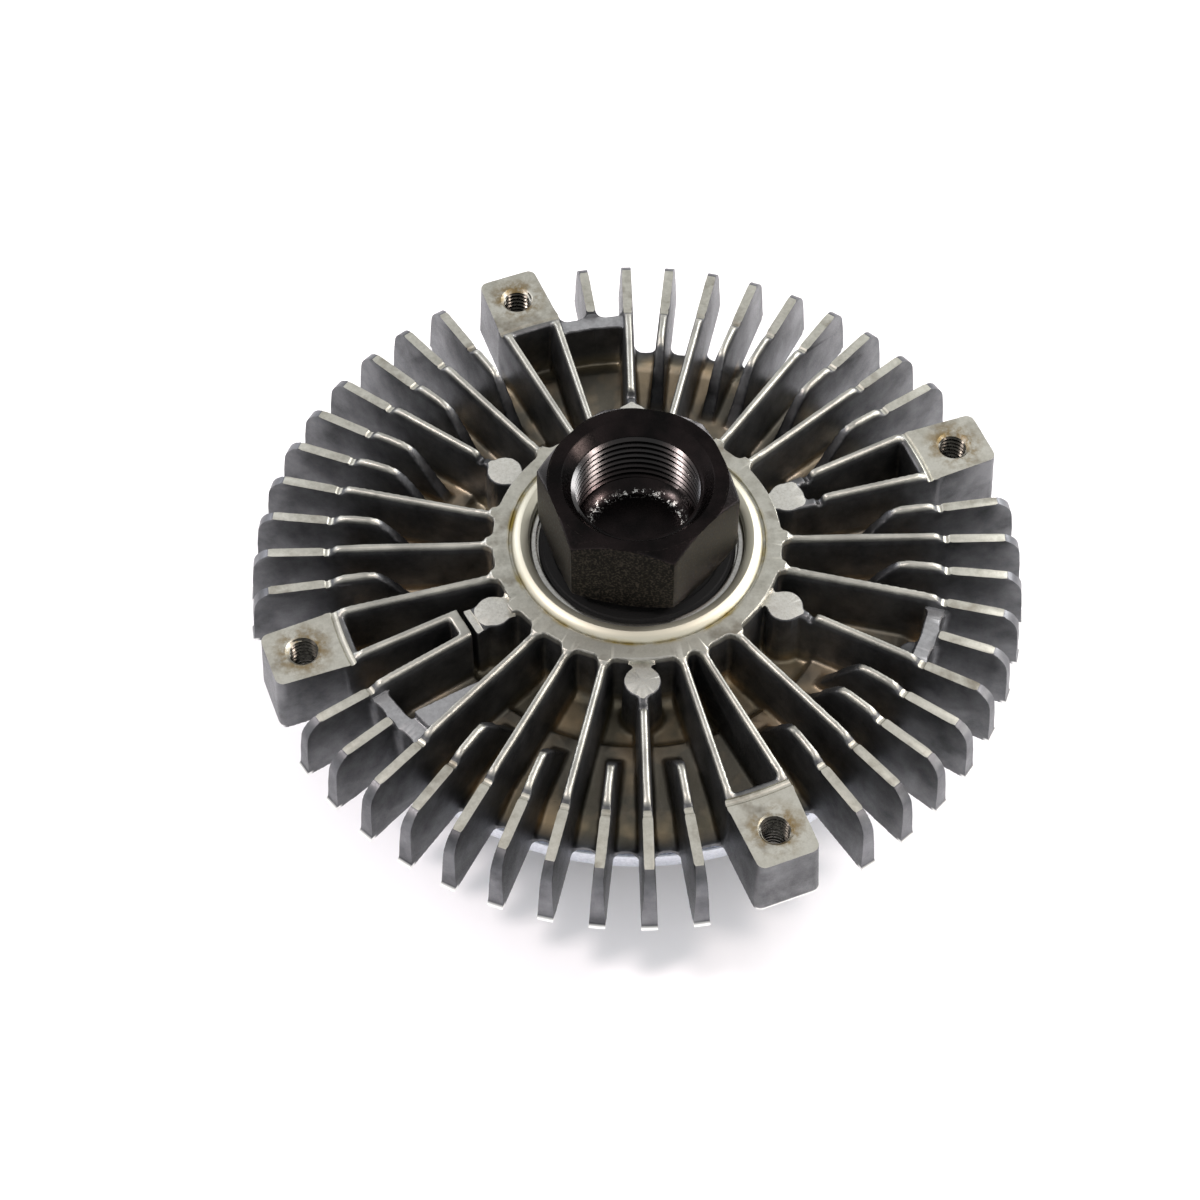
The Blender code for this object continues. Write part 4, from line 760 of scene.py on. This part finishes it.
def links():
    # Stubs from the posts to the ring, the loop's pad and end wall, and the sills behind the boss pads
    stub = block("stub", 25.0, 1.2, 29.0, 1.2, -13.6, -0.35)
    pad = block("pad", 31.5, 2.5, 34.9, 3.0, -13.6, 0.2)
    end = block("end", 35.9, 3.1, 37.9, 3.1, -13.6, 1.4)
    sill = block("sill", 55.3, 5.7, 57.6, 6.0, -12.0, 0.55)
    loop = postAngles()[-1]
    placed = [(stub, angle) for angle in postAngles()] + [(pad, loop), (end, loop)]
    placed += [(sill, angle) for angle in bossAngles]
    return gather("links", [(mesh, turn(angle)) for mesh, angle in placed])


def castProfile():
    high = housing["floor"]
    deep = housing["floorDeep"]
    ring = [(19.2, 1.4), (19.2, 3.7), (23.2, 3.7), (23.2, 2.5), (26.0, 2.45), (26.6, 2.0), (26.8, -10.6),
            (27.4, -11.7), (28.4, deep), (35.4, deep), (36.2, -11.9), (36.9, high)]
    rim = [(50.4, high), (51.4, -11.2), (54.2, -12.4), (56.6, -12.6), (56.6, -13.4), (57.9, -13.9),
           (57.9, -17.6), (57.0, -19.2), (55.4, -19.6), (53.9, -19.5), (53.9, -18.25), (54.5, -18.25),
           (54.5, -14.15)]
    roof = [(51.6, -14.15), (51.2, -13.6), (37.4, -13.6), (36.2, -15.0), (17.5, -15.0), (17.5, -11.0),
            (20.3, -11.0), (20.3, 1.4)]
    return ring + rim + roof


# One turn of a thread as (share of the turn, share of the depth): flat crest, flank, narrow root
threadShape = ((0.0, 0.0), (0.27, 0.0), (0.58, 1.0), (0.68, 1.0))
screwThread = {"minor": 2.5, "major": 3.0, "pitch": 1.0, "top": 0.6, "depth": 9.4, "columns": 24,
               "tail": [(2.5, -15.0), (0.0, -15.0)]}


def threadCutter(name, thread):
    # A tap's shape: its ridge climbs round it, and the tail closes it below, in (radius, height)
    columns = thread["columns"]
    minor = thread["minor"]
    perTurn = len(threadShape)
    top = thread["top"]
    bottom = top - thread["depth"]
    bm = bmesh.new()
    known = {}

    def vertex(radius, angle, height):
        place = polar(radius, angle, height)
        key = tuple(round(value * 1e8) for value in place)
        if key not in known:
            known[key] = bm.verts.new(place)
        return known[key]

    def face(*corners):
        distinct = list(dict.fromkeys(corners))
        if len(distinct) > 2 and not bm.faces.get(distinct):
            bm.faces.new(distinct)

    angles = [2 * math.pi * i / columns for i in range(columns)]
    steps = perTurn * (math.ceil(thread["depth"] / thread["pitch"]) + 1)
    rings = []
    for k in range(steps + 1):
        ring = []
        for i in range(columns):
            share, depth = threadShape[k % perTurn]
            height = top + thread["pitch"] * (i / columns - k // perTurn - share)
            radius = minor + (thread["major"] - minor) * depth
            if height > top or height < bottom:
                radius = minor
            ring.append(vertex(radius, angles[i], min(top, max(bottom, height))))
        rings.append(ring)
    for k in range(steps):
        for i in range(columns - 1):
            face(rings[k][i], rings[k][i + 1], rings[k + 1][i + 1], rings[k + 1][i])
        above = rings[max(0, k - perTurn)][0]
        below = rings[max(0, k + 1 - perTurn)][0]
        face(rings[k][-1], above, below, rings[k + 1][-1])
    for ends in ([(minor, top), (minor, top + 1.0), (0.0, top + 1.0)], [(minor, bottom)] + thread["tail"]):
        for (radiusA, heightA), (radiusB, heightB) in zip(ends, ends[1:]):
            for angle, following in zip(angles, angles[1:] + angles[:1]):
                face(vertex(radiusA, angle, heightA), vertex(radiusA, following, heightA),
                     vertex(radiusB, following, heightB), vertex(radiusB, angle, heightB))
    bmesh.ops.recalc_face_normals(bm, faces=bm.faces)
    return meshFrom(bm, name)


def castPart(name, meshes, skin, voxelMm, triangles):
    # Overlapping solids melted into one skin with cast roots and edges, then thinned
    mesh = gathered(name, meshes)
    mesh.materials.clear()
    obj = newObject(name, mesh, skin)
    remesh = obj.modifiers.new("remesh", "REMESH")
    remesh.mode = "VOXEL"
    remesh.voxel_size = voxelMm * mm
    soften = obj.modifiers.new("soften", "SMOOTH")
    soften.factor = 0.5
    soften.iterations = 2
    applied(obj)
    faces = len(obj.data.polygons) * 2
    if faces > triangles:
        thin = obj.modifiers.new("thin", "DECIMATE")
        thin.ratio = triangles / faces
        applied(obj)
    print(name, "cast skin", faces, "to", len(obj.data.polygons))
    return obj


def finishCast(obj):
    # Smooth cast skin; crisp edges only where a cut face meets another face
    bm = bmesh.new()
    bm.from_mesh(obj.data)
    for face in bm.faces:
        face.smooth = True
    for edge in bm.edges:
        if len(edge.link_faces) == 2 and any(face.material_index for face in edge.link_faces):
            edge.smooth = edge.calc_face_angle(0.0) < math.radians(24.0)
    bm.to_mesh(obj.data)
    bm.free()


def finPlaces():
    places = {kind: [] for kind in ("long", "post", "loop", "short", "web")}
    for slot in range(4 * housing["slots"]):
        if (slot - 9) % housing["slots"] < 2:
            continue
        kind = "long" if slot in housing["longFins"] else "short"
        kind = "post" if slot in housing["postFins"] else kind
        kind = "loop" if slot == housing["loopFin"] else kind
        kind = "web" if slot in housing["webFins"] else kind
        places[kind].append(slotAngle(slot))
    return places


def makeHousing():
    fins = finOutlines()
    meshes = [copiesRound(kind + "Fins", finMesh(kind, fins[kind]), places, housingSkin)
              for kind, places in finPlaces().items()]
    meshes += [copiesRound("bosses", bossMesh(), bossAngles, housingSkin),
               copiesRound("posts", postMesh(), postAngles(), housingSkin), ribs(), rimLedge(), ringRoots(),
               webs(), ledges(), links(), turnedMesh("castBody", castProfile(), 180)]
    body = castPart("rearHousing", meshes, housingSkin, housing["voxelMm"], housing["triangles"])
    body.data.materials.append(turnedSkin)
    bore = [(0.0, -16.5), (17.5, -16.5), (17.5, -10.8), (20.22, -10.8), (20.22, 1.75), (19.7, 1.75),
            (19.7, 2.1), (20.0, 2.75), (20.6, 3.1), (21.4, 3.22), (22.1, 3.0), (22.7, 2.55), (23.05, 2.0),
            (23.15, 1.7), (23.5, 1.7), (23.65, 2.2), (27.6, 2.2), (27.6, 6.0), (0.0, 6.0)]
    face = [(56.4, 4.0), (56.4, 0.05), (56.7, -0.22), (57.0, -0.32), (57.35, -0.3), (57.65, 0.0), (75.0, 0.0),
            (75.0, 4.0)]
    band = [(56.6, -13.5), (56.6, -13.95), (57.3, -14.05), (57.5, -14.2), (57.5, -17.2), (57.15, -18.2),
            (56.4, -18.85), (55.2, -19.15), (54.2, -19.2), (54.2, -22.0), (76.0, -22.0), (76.0, -13.38),
            (57.2, -13.38)]
    turnings = (("bore", bore, turnedSkin), ("face", face, turnedSkin), ("band", band, bandSkin))
    for name, profile, skin in turnings:
        cut(body, turnedMesh(name, profile, 240), skin)
    ends = finEnd() + [(72.5, -14.5), (77.0, -14.5), (77.0, 1.5), (footR - 6.3, 1.5)]
    trim = sectorMesh("trim", ends, housing["bossAngleDeg"] + 9.0, housing["bossAngleDeg"] + 81.0, 90)
    cut(body, copiesRound("trims", trim, [-90.0 * i for i in range(4)], endSkin), endSkin)
    # Web and gusset tops are cut and given the pale skin, painted light on lands that face up
    reach = housing["finPitchDeg"] - 1.05
    for slot in housing["webFins"]:
        cut(body, sectorMesh("webTop", [(53.8, -1.5), (57.3, -1.5), (57.3, 3.0), (53.8, 3.0)],
                             slotAngle(slot) - reach, slotAngle(slot) + reach, 12), paintedLitWebSkin)
    gusset = turnPoints(((39.9, 226.3), (53.4, 226.75), (53.3, 221.4)))
    cut(body, slab("gussetTop", [gusset[::-1]], -0.62, 1.2), paintedLitWebSkin)
    pad = block("padTop", 33.45, 3.4, 35.7, 3.4, 0.0, 1.2)
    pad.transform(turn(postAngles()[-1]))
    cut(body, pad, millSkin)
    mill = turnedMesh("mill", [(0.0, 0.36), (4.2, 0.36), (4.2, 1.6), (0.0, 1.6)], 32)
    cut(body, copiesRound("mills", moved(mill, housing["postCircle"]), postAngles(), millSkin), millSkin)
    sink = turnedMesh("sink", [(0.0, -0.7), (2.5, -0.7), (3.8, 0.6), (0.0, 0.6)], 32)
    # The tapped holes get the dark skin: painted shade inside them, over an oily thread
    for mesh, skin in ((threadCutter("tap", screwThread), shadedTapSkin), (sink, turnedSkin)):
        cut(body, copiesRound(mesh.name + "s", moved(mesh, housing["bossHoleR"]), bossAngles, skin), skin)
    finishCast(body)
    placePiece(body, "housing", "cast_aluminium", "rear_housing")
    print("rear housing", len(body.data.polygons), [material.name for material in body.data.materials])


makeHousing()


# Hub: hexagon nut, neck, bearing seat and riveted end as one forging, with the hub thread cut in

hub = {"flats": 32.0, "cornerDeg": -10.5, "foot": 3.4, "faceR": 16.25, "coneDeg": 48.0, "footConeDeg": 60.0,
       "columns": 240, "sharpness": 150.0,
       "shaft": ((16.05, 3.4), (11.4, 3.4), (11.4, 1.8), (8.25, 1.8), (8.25, -10.0), (7.6, -10.0),
                 (7.6, -20.4), (9.4, -20.4), (8.4, -21.8), (0.0, -21.8))}
hubThread = {"minor": 11.2, "major": 12.0, "pitch": 1.5, "top": 17.7, "depth": 11.8, "columns": 160,
             "tail": [(11.0, 5.7), (9.1, 4.35), (8.4, 4.2), (0.0, 3.9)]}


def hexRow(height, away, coneDeg):
    # The hexagon's radius at an angle, blended into the chamfer's cone that starts at the face
    power = hub["sharpness"]
    half = hub["flats"] / 2
    cone = hub["faceR"] + away * math.tan(math.radians(coneDeg))

    def row(angle):
        total = cone ** -power
        for k in range(3):
            facing = math.cos(angle - math.radians(hub["cornerDeg"] + 30.0 + 60.0 * k))
            total += abs(facing / half) ** power
        return (total ** (-1.0 / power), height)
    return row


def makeHub():
    top = nutRise
    rows = [lambda angle: (0.0, top), lambda angle: (15.4, top)]
    rows += [hexRow(top - drop, drop, hub["coneDeg"])
             for drop in (0.0, 0.06, 0.25, 0.5, 0.75, 1.0, 1.25, 1.5, 1.75, 2.05, 2.8)]
    rows += [hexRow(hub["foot"] + rise, rise, hub["footConeDeg"])
             for rise in (8.0, 2.4, 1.4, 1.1, 0.8, 0.5, 0.2)]
    rows += [lambda angle, point=point: point for point in hub["shaft"]]
    body = newObject("hubShaftFine", gridMesh("hub", rows, hub["columns"], False), oxideSkin)
    mouth = [(0.0, top - 2.6), (11.6, top - 2.6), (12.05, top - 2.2), (13.45, top - 0.25), (13.7, top),
             (14.5, top + 0.8), (0.0, top + 0.8)]
    cut(body, turnedMesh("mouth", mouth, 160), oxideSkin)
    cut(body, threadCutter("hubTap", hubThread), oiledBore)
    smooth(body, 28.0)
    placePiece(body, "hub", "black_oxide_steel", "hub_shaft")
    print("hub", len(body.data.polygons))


makeHub()


# Bearing: 17 x 40 x 12 mm, its faces 1.5 mm above the machined plane

bearing = {"outerR": 20.0, "boreR": 8.5, "top": 1.5, "width": 12.0, "ballR": 3.374, "ballCircle": 14.25,
           "groove": 3.594, "outerShoulder": 16.3, "innerShoulder": 12.2, "shieldSeat": 18.4,
           "seatDepth": 1.45, "cageHalf": 4.25, "cageWall": 0.9, "balls": 8}


def groove(sign, shoulder):
    # Raceway arc from the lower shoulder up, bulging outward for the outer ring
    middle = bearing["top"] - bearing["width"] / 2
    reach = (shoulder - bearing["ballCircle"]) * sign
    edge = math.degrees(math.acos(reach / bearing["groove"]))
    bend = arc((bearing["ballCircle"], middle), (bearing["groove"], bearing["groove"]), -edge, edge, 12)
    return bend if sign > 0 else [(2 * bearing["ballCircle"] - x, z) for x, z in bend]


def sealProfile(face, side):
    # Rubber seal with a pressed step, a dust ring and a thin lip; side is +1 where its face looks up
    steps = ((12.47, 0.75), (12.47, 0.2), (12.75, 0.02), (13.55, 0.02), (13.85, 0.24), (15.5, 0.24),
             (15.75, 0.06), (17.25, 0.06), (17.5, 0.3), (17.95, 0.3), (18.14, 0.5), (18.14, 0.88),
             (12.6, 0.88))
    points = [(radius, face - side * depth) for radius, depth in steps]
    return points if side > 0 else points[::-1]


def ballsRound(name, radius, skin):
    bm = bmesh.new()
    bmesh.ops.create_uvsphere(bm, u_segments=28, v_segments=18, radius=radius * mm)
    middle = at(bearing["top"] - bearing["width"] / 2)
    bmesh.ops.translate(bm, vec=(bearing["ballCircle"] * mm, 0.0, middle), verts=bm.verts)
    return copiesRound(name, meshFrom(bm, name), evenly(bearing["balls"]), skin)


def makeBearing():
    top = bearing["top"]
    low = top - bearing["width"]
    seat = bearing["shieldSeat"]
    depth = bearing["seatDepth"]
    outerR = bearing["outerR"]
    shoulder = bearing["outerShoulder"]
    outer = [(seat, low), (outerR - 0.7, low), (outerR, low + 0.7), (outerR, top - 0.75),
             (outerR - 0.22, top - 0.22), (outerR - 0.75, top), (seat + 0.25, top), (seat, top - 0.2),
             (seat, top - depth), (shoulder, top - depth)]
    outer += groove(1, shoulder)[::-1] + [(shoulder, low + depth), (seat, low + depth)]
    turnedPiece("bearing_outer_ring", "housing", "bearing_steel", outer, 180, bearingSteel)
    boreR = bearing["boreR"]
    shoulder = bearing["innerShoulder"]
    inner = [(boreR, low), (shoulder, low)] + groove(-1, shoulder) + [(shoulder, top), (boreR + 0.5, top),
                                                                      (boreR, top - 0.5)]
    turnedPiece("bearing_inner_ring", "hub", "bearing_steel", inner, 120, bearingSteel)
    turnedPiece("rear_bearing_seal", "housing", "black_rubber", sealProfile(top - 0.3, 1), 160, rubber)
    turnedPiece("front_bearing_seal", "housing", "black_rubber", sealProfile(low + 0.3, -1), 120, rubber)
    middle = (top + low) / 2
    band = [(bearing["ballCircle"] + x * bearing["cageWall"], middle + z * bearing["cageHalf"])
            for x, z in ((-1, -1), (1, -1), (1, 1), (-1, 1))]
    cage = newObject("bearingCageFine", turnedMesh("cage", band, 120), pressedSteel)
    cut(cage, ballsRound("pockets", bearing["ballR"] + 0.25, pressedSteel), pressedSteel)
    smooth(cage)
    placePiece(cage, "cage", "cage_steel", "bearing_cage")
    balls = newObject("bearingBalls", ballsRound("balls", bearing["ballR"], ballSteel))
    smooth(balls, 60.0)
    placePiece(balls, "cage", "ball_steel", *["bearing_ball_" + str(i + 1) for i in range(bearing["balls"])])
    print("bearing made")


makeBearing()


# Front cover: cast dome with cooling fins and collar, its inside turned; heights from the rest plane

cover = {"face": 9.8, "dome": 5.8, "collarIn": 20.6, "collarOut": 23.6, "domeR": 29.6, "domeSlope": 3.0,
         "bodyR": 52.0, "taper": 3.0, "flangeR": 54.2, "flangeLow": 19.45, "flangeTop": 22.95,
         "rebateR": 52.4, "rebate": 1.7, "innerR": 50.0, "reservoirR": 27.0, "reservoirFloor": 8.4,
         "floor": 12.8, "land": 15.8, "plateR": 29.9, "landFirst": 34.5, "landPitch": 5.8,
         "grooveHalf": 1.7, "hubR": 6.6, "hubTop": 11.4, "boreR": 2.7, "glandR": 4.29, "glandLow": 8.6,
         "glandHigh": 10.44, "fins": 24, "finHalf": 1.1, "firstFinDeg": 5.0, "voxelMm": 0.5,
         "triangles": 90000}
restPlane = -planeZ / mm
landMiddles = [cover["landFirst"] + cover["landPitch"] * index for index in (2, 1, 0)]


def up(profile):
    # Heights measured from the rest plane become heights from the machined plane
    return [(radius, height + restPlane) for radius, height in profile]


def coverFin():
    face = cover["face"]
    tip = cover["bodyR"] - cover["taper"]
    outline = up([(22.4, cover["dome"] + 1.2), (22.4, 0.5), (23.6, 0.2), (26.0, 0.12), (tip - 6.2, 0.12),
                  (tip - 5.2, 0.7), (tip - 0.1, face - 0.5), (tip - 0.3, face + 1.0), (34.0, face + 1.2)])
    mesh = slab("coverFin", [outline], -cover["finHalf"], cover["finHalf"])
    for vert in mesh.vertices:
        x, height, side = vert.co.x, vert.co.y, vert.co.z - planeZ
        vert.co = (x, side * (0.82 + 0.02 * (height / mm - restPlane)), planeZ + height)
    return mesh


def makeCover():
    dome = cover["dome"]
    face = cover["face"]
    bodyR = cover["bodyR"]
    lipR = cover["flangeR"] - 0.05
    outside = up([(0.0, dome), (cover["collarIn"], dome), (cover["collarIn"], 0.1),
                  (cover["collarOut"], 0.1), (cover["collarOut"], dome), (cover["domeR"], dome),
                  (cover["domeR"] + cover["domeSlope"], face), (bodyR - cover["taper"], face),
                  (bodyR - 0.1, 13.3), (bodyR - 0.1, cover["flangeLow"]), (lipR, cover["flangeLow"]),
                  (lipR, cover["flangeTop"]), (0.0, cover["flangeTop"])])
    cheeks = [slab("cheek", [[(17.3, low), (21.3, low), (21.3, low + 1.5), (17.3, low + 1.5)]],
                   restPlane + 0.9, restPlane + dome + 0.8) for low in (-2.25, 0.75)]
    fins = copiesRound("coverFins", coverFin(), evenly(cover["fins"], cover["firstFinDeg"]), coverSkin)
    meshes = [turnedMesh("coverBody", outside, 150), fins] + cheeks
    body = castPart("frontCoverFine", meshes, coverSkin, cover["voxelMm"], cover["triangles"])
    body.data.materials.append(rotorSkin)
    floor = cover["floor"]
    land = cover["land"]
    half = cover["grooveHalf"]
    inside = [(0.0, 26.0), (cover["innerR"], 26.0), (cover["innerR"], floor)]
    for index, middle in enumerate(landMiddles):
        if index > 0:
            inside += [(middle + half, land), (middle + half, floor)]
        inside += [(middle - half, floor), (middle - half, land if index < 2 else land - 0.6)]
    inside += [(cover["plateR"], land - 0.6), (cover["plateR"], floor), (cover["reservoirR"], floor),
               (cover["reservoirR"], cover["reservoirFloor"]), (cover["hubR"], cover["reservoirFloor"]),
               (cover["hubR"], cover["hubTop"]), (cover["boreR"], cover["hubTop"]),
               (cover["boreR"], cover["glandHigh"]), (cover["glandR"], cover["glandHigh"]),
               (cover["glandR"], cover["glandLow"]), (cover["boreR"], cover["glandLow"]),
               (cover["boreR"], 4.0), (0.0, 4.0)]
    step = cover["flangeTop"] - cover["rebate"]
    rebate = [(cover["rebateR"], step), (58.0, step), (58.0, 24.5), (cover["rebateR"], 24.5)]
    for name, profile in (("inside", inside), ("rebate", rebate)):
        cut(body, turnedMesh(name, up(profile), 200), rotorSkin)
    finishCast(body)
    placePiece(body, "housing", "front_cover_aluminium", "front_cover")
    print("front cover", len(body.data.polygons))


makeCover()


# Rotor, seals and the valve behind the cover

rotor = {"top": 22.8, "step": 1.4, "under": 16.4, "tip": 13.4, "r": 47.6, "stepR": 36.0, "hubR": 12.0,
         "hubTop": 26.6, "boreR": 7.85, "recessR": 10.6, "landHalf": 1.2, "portR": 2.4, "portCircle": 25.0,
         "ports": 4}


def makeRotor():
    top = rotor["top"]
    web = top - rotor["step"]
    under = rotor["under"]
    half = rotor["landHalf"]
    profile = [(rotor["hubR"], rotor["hubTop"]), (rotor["hubR"], web), (rotor["stepR"], web),
               (rotor["stepR"] + 2.0, top), (rotor["r"], top), (rotor["r"], under)]
    for middle in landMiddles:
        profile += [(middle + half, under), (middle + half, rotor["tip"]), (middle - half, rotor["tip"]),
                    (middle - half, under)]
    profile += [(rotor["recessR"], under), (rotor["recessR"], under + 0.9), (rotor["boreR"], under + 0.9),
                (rotor["boreR"], rotor["hubTop"])]
    disc = newObject("rotorDiscFine", turnedMesh("rotor", up(profile)[::-1], 180), rotorSkin)
    port = slab("port", [circle(rotor["portR"], 32, (rotor["portCircle"], 0.0))], restPlane + under - 1.0,
                restPlane + top)
    cut(disc, copiesRound("ports", port, evenly(rotor["ports"]), rotorSkin), rotorSkin)
    smooth(disc)
    placePiece(disc, "hub", "rotor_aluminium", "rotor_disc")


coil = {"thickness": 0.8, "low": 0.8, "high": 5.2, "startR": 3.6, "pitch": 3.3, "turns": 4, "tab": 2.6,
        "bevel": 0.12, "shaftR": 2.4, "spigotR": 1.6, "shoulder": 12.0, "armTop": 12.75, "slotHalf": 0.65,
        "perTurn": 48}


def coilLine():
    # Tab through the shaft, the turns, and the tab into the collar's anchor
    steps = coil["perTurn"] * coil["turns"]
    spread = coil["pitch"] * coil["turns"]
    endR = coil["startR"] + spread
    points = [(-coil["shaftR"] * 0.8, 0.0), (coil["startR"] - 0.5, 0.0)]
    for i in range(1, steps):
        angle = 2 * math.pi * coil["turns"] * i / steps
        radius = coil["startR"] + spread * i / steps
        points.append((radius * math.cos(angle), radius * math.sin(angle)))
    return [Vector(point) for point in points + [(endR + 0.5, 0.0), (endR + coil["tab"], 0.0)]]


def makeCoil():
    # A flat strip swept along the line with broken edges: brass on its outer side, steel on its inner side
    line = coilLine()
    half = coil["thickness"] / 2
    bevel = coil["bevel"]
    low = coil["low"]
    high = coil["high"]
    section = [(-half, low + bevel), (-half + bevel, low), (half - bevel, low), (half, low + bevel),
               (half, high - bevel), (half - bevel, high), (-half + bevel, high), (-half, high - bevel)]
    rings = []
    for index, point in enumerate(line):
        before = line[max(index - 1, 0)]
        after = line[min(index + 1, len(line) - 1)]
        into = (point - before).normalized() if index else (after - point).normalized()
        out = (after - point).normalized() if index < len(line) - 1 else into
        bisector = (into + out).normalized()
        stretch = 1.0 / max(bisector.dot(into), 0.6)
        normal = Vector((-bisector.y, bisector.x))
        rings.append([((point.x + normal.x * side * stretch) * mm, (point.y + normal.y * side * stretch) * mm,
                       height * mm) for side, height in section])
    mesh = sweptMesh("bimetalSpiralFine", rings)
    obj = newObject("bimetalSpiralFine", mesh, bimetalSkin, springSkin)
    for quad in mesh.polygons[:-2]:
        quad.material_index = 1 if quad.index % len(section) in (3, 4) else 0
    smooth(obj)
    placePiece(obj, None, "bimetal_strip", "bimetal_spiral")
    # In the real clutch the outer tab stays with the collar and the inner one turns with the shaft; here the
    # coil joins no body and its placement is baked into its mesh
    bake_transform(obj)


def makeValve():
    shaftR = coil["shaftR"]
    profile = [(0.0, coil["low"]), (shaftR - 0.3, coil["low"]), (shaftR, coil["low"] + 0.3),
               (shaftR, coil["shoulder"]), (coil["spigotR"], coil["shoulder"]),
               (coil["spigotR"], coil["armTop"]), (0.0, coil["armTop"])]
    shaft = newObject("valveShaftFine", turnedMesh("valveShaft", up(profile), 64), bearingSteel)
    half = coil["slotHalf"]
    cut(shaft, block("slot", -4.0, half, 4.0, half, restPlane - 1.0, restPlane + coil["high"] + 0.25),
        bearingSteel)
    smooth(shaft)
    placePiece(shaft, "valve", "bearing_steel", "valve_shaft")
    for node, centre, radius, columns in (("cover_seal_ring", (53.3, 22.1), 0.65, 180),
                                          ("valve_shaft_seal", (3.37, 9.52), 0.72, 48)):
        turnedPiece(node, "housing", "black_rubber", up(circle(radius, 24, centre)), columns, rubber)


makeRotor()
makeCoil()
makeValve()
print("rotor, valve and coil made")

# Stage: pale floor under soft lamps

stage = {"floor": "#f8f8fb", "size": 6.0, "horizon": 1.0, "ceiling": 0.56, "fill": 0.98}


def makeStage():
    bm = bmesh.new()
    bmesh.ops.create_grid(bm, x_segments=1, y_segments=1, size=stage["size"])
    material = bpy.data.materials.new("paleFloor")
    material.use_nodes = True
    shader = material.node_tree.nodes["Principled BSDF"]
    shader.inputs["Base Color"].default_value = srgb(stage["floor"])
    shader.inputs["Roughness"].default_value = 0.6
    newObject("floor", meshFrom(bm, "floor"), material)
    world = bpy.data.worlds.new("studio")
    bpy.context.scene.world = world
    world.use_nodes = True
    tree = world.node_tree
    back = tree.nodes["Background"]
    # White backdrop for the camera, in the metal a backdrop that darkens towards the ceiling, less as fill
    path = addNode(tree, "ShaderNodeLightPath")
    direction = addNode(tree, "ShaderNodeTexCoord").outputs["Generated"]
    height = addNode(tree, "ShaderNodeSeparateXYZ", {"Vector": direction})
    backdrop = addNode(tree, "ShaderNodeMapRange", {"Value": height.outputs["Z"], "From Min": 0.05,
                                                    "From Max": 0.85, "To Min": stage["horizon"],
                                                    "To Max": stage["ceiling"]})
    shine = addNode(tree, "ShaderNodeMath", {0: path.outputs["Is Glossy Ray"],
                                             1: path.outputs["Is Transmission Ray"]}, operation="MAXIMUM")
    lit = addNode(tree, "ShaderNodeMix", {"Factor": shine.outputs["Value"], "A": stage["fill"],
                                          "B": backdrop.outputs["Result"]}, data_type="FLOAT")
    strength = addNode(tree, "ShaderNodeMix", {"Factor": path.outputs["Is Camera Ray"],
                                               "A": lit.outputs["Result"], "B": 1.0}, data_type="FLOAT")
    tree.links.new(strength.outputs["Result"], back.inputs["Strength"])
    back.inputs["Color"].default_value = (1.0, 1.0, 1.0, 1.0)


def areaLamp(name, place, size, power, colour="#ffffff"):
    data = bpy.data.lights.new(name, "AREA")
    data.shape = "RECTANGLE"
    data.size, data.size_y = size
    data.energy = power
    data.color = srgb(colour)[:3]
    obj = bpy.data.objects.new(name, data)
    bpy.context.scene.collection.objects.link(obj)
    obj.location = place
    obj.rotation_mode = "QUATERNION"
    obj.rotation_quaternion = (-Vector(place)).to_track_quat("-Z", "Y")


makeStage()
areaLamp("rightBackSoftbox", (0.76, 0.52, 0.5), (0.36, 0.3), 6.5)
areaLamp("leftSoftbox", (-0.617, -0.121, 0.843), (0.12, 0.12), 4.6, "#fff2ef")
areaLamp("rightSoftbox", (0.65, -0.05, 0.8), (0.14, 0.14), 3.2, "#fff0ea")
areaLamp("rightLowSoftbox", (0.98, -0.16, 0.27), (0.4, 0.22), 3.2, "#fff8ee")
areaLamp("leftBackSoftbox", (-0.72, 0.58, 0.44), (0.3, 0.3), 2.2, "#f4f6ff")
print("stage lit")

# The other CAD nodes keep their shape and get real finishes
finishes = {"separator_plate": pressedSteel, "valve_arm": pressedSteel, "scavenge_wiper": wiperPlastic}
for nodeName, skin in finishes.items():
    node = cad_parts[nodeName]
    node.data.materials.clear()
    node.data.materials.append(skin)

bpy.context.scene.view_settings.view_transform = "Standard"
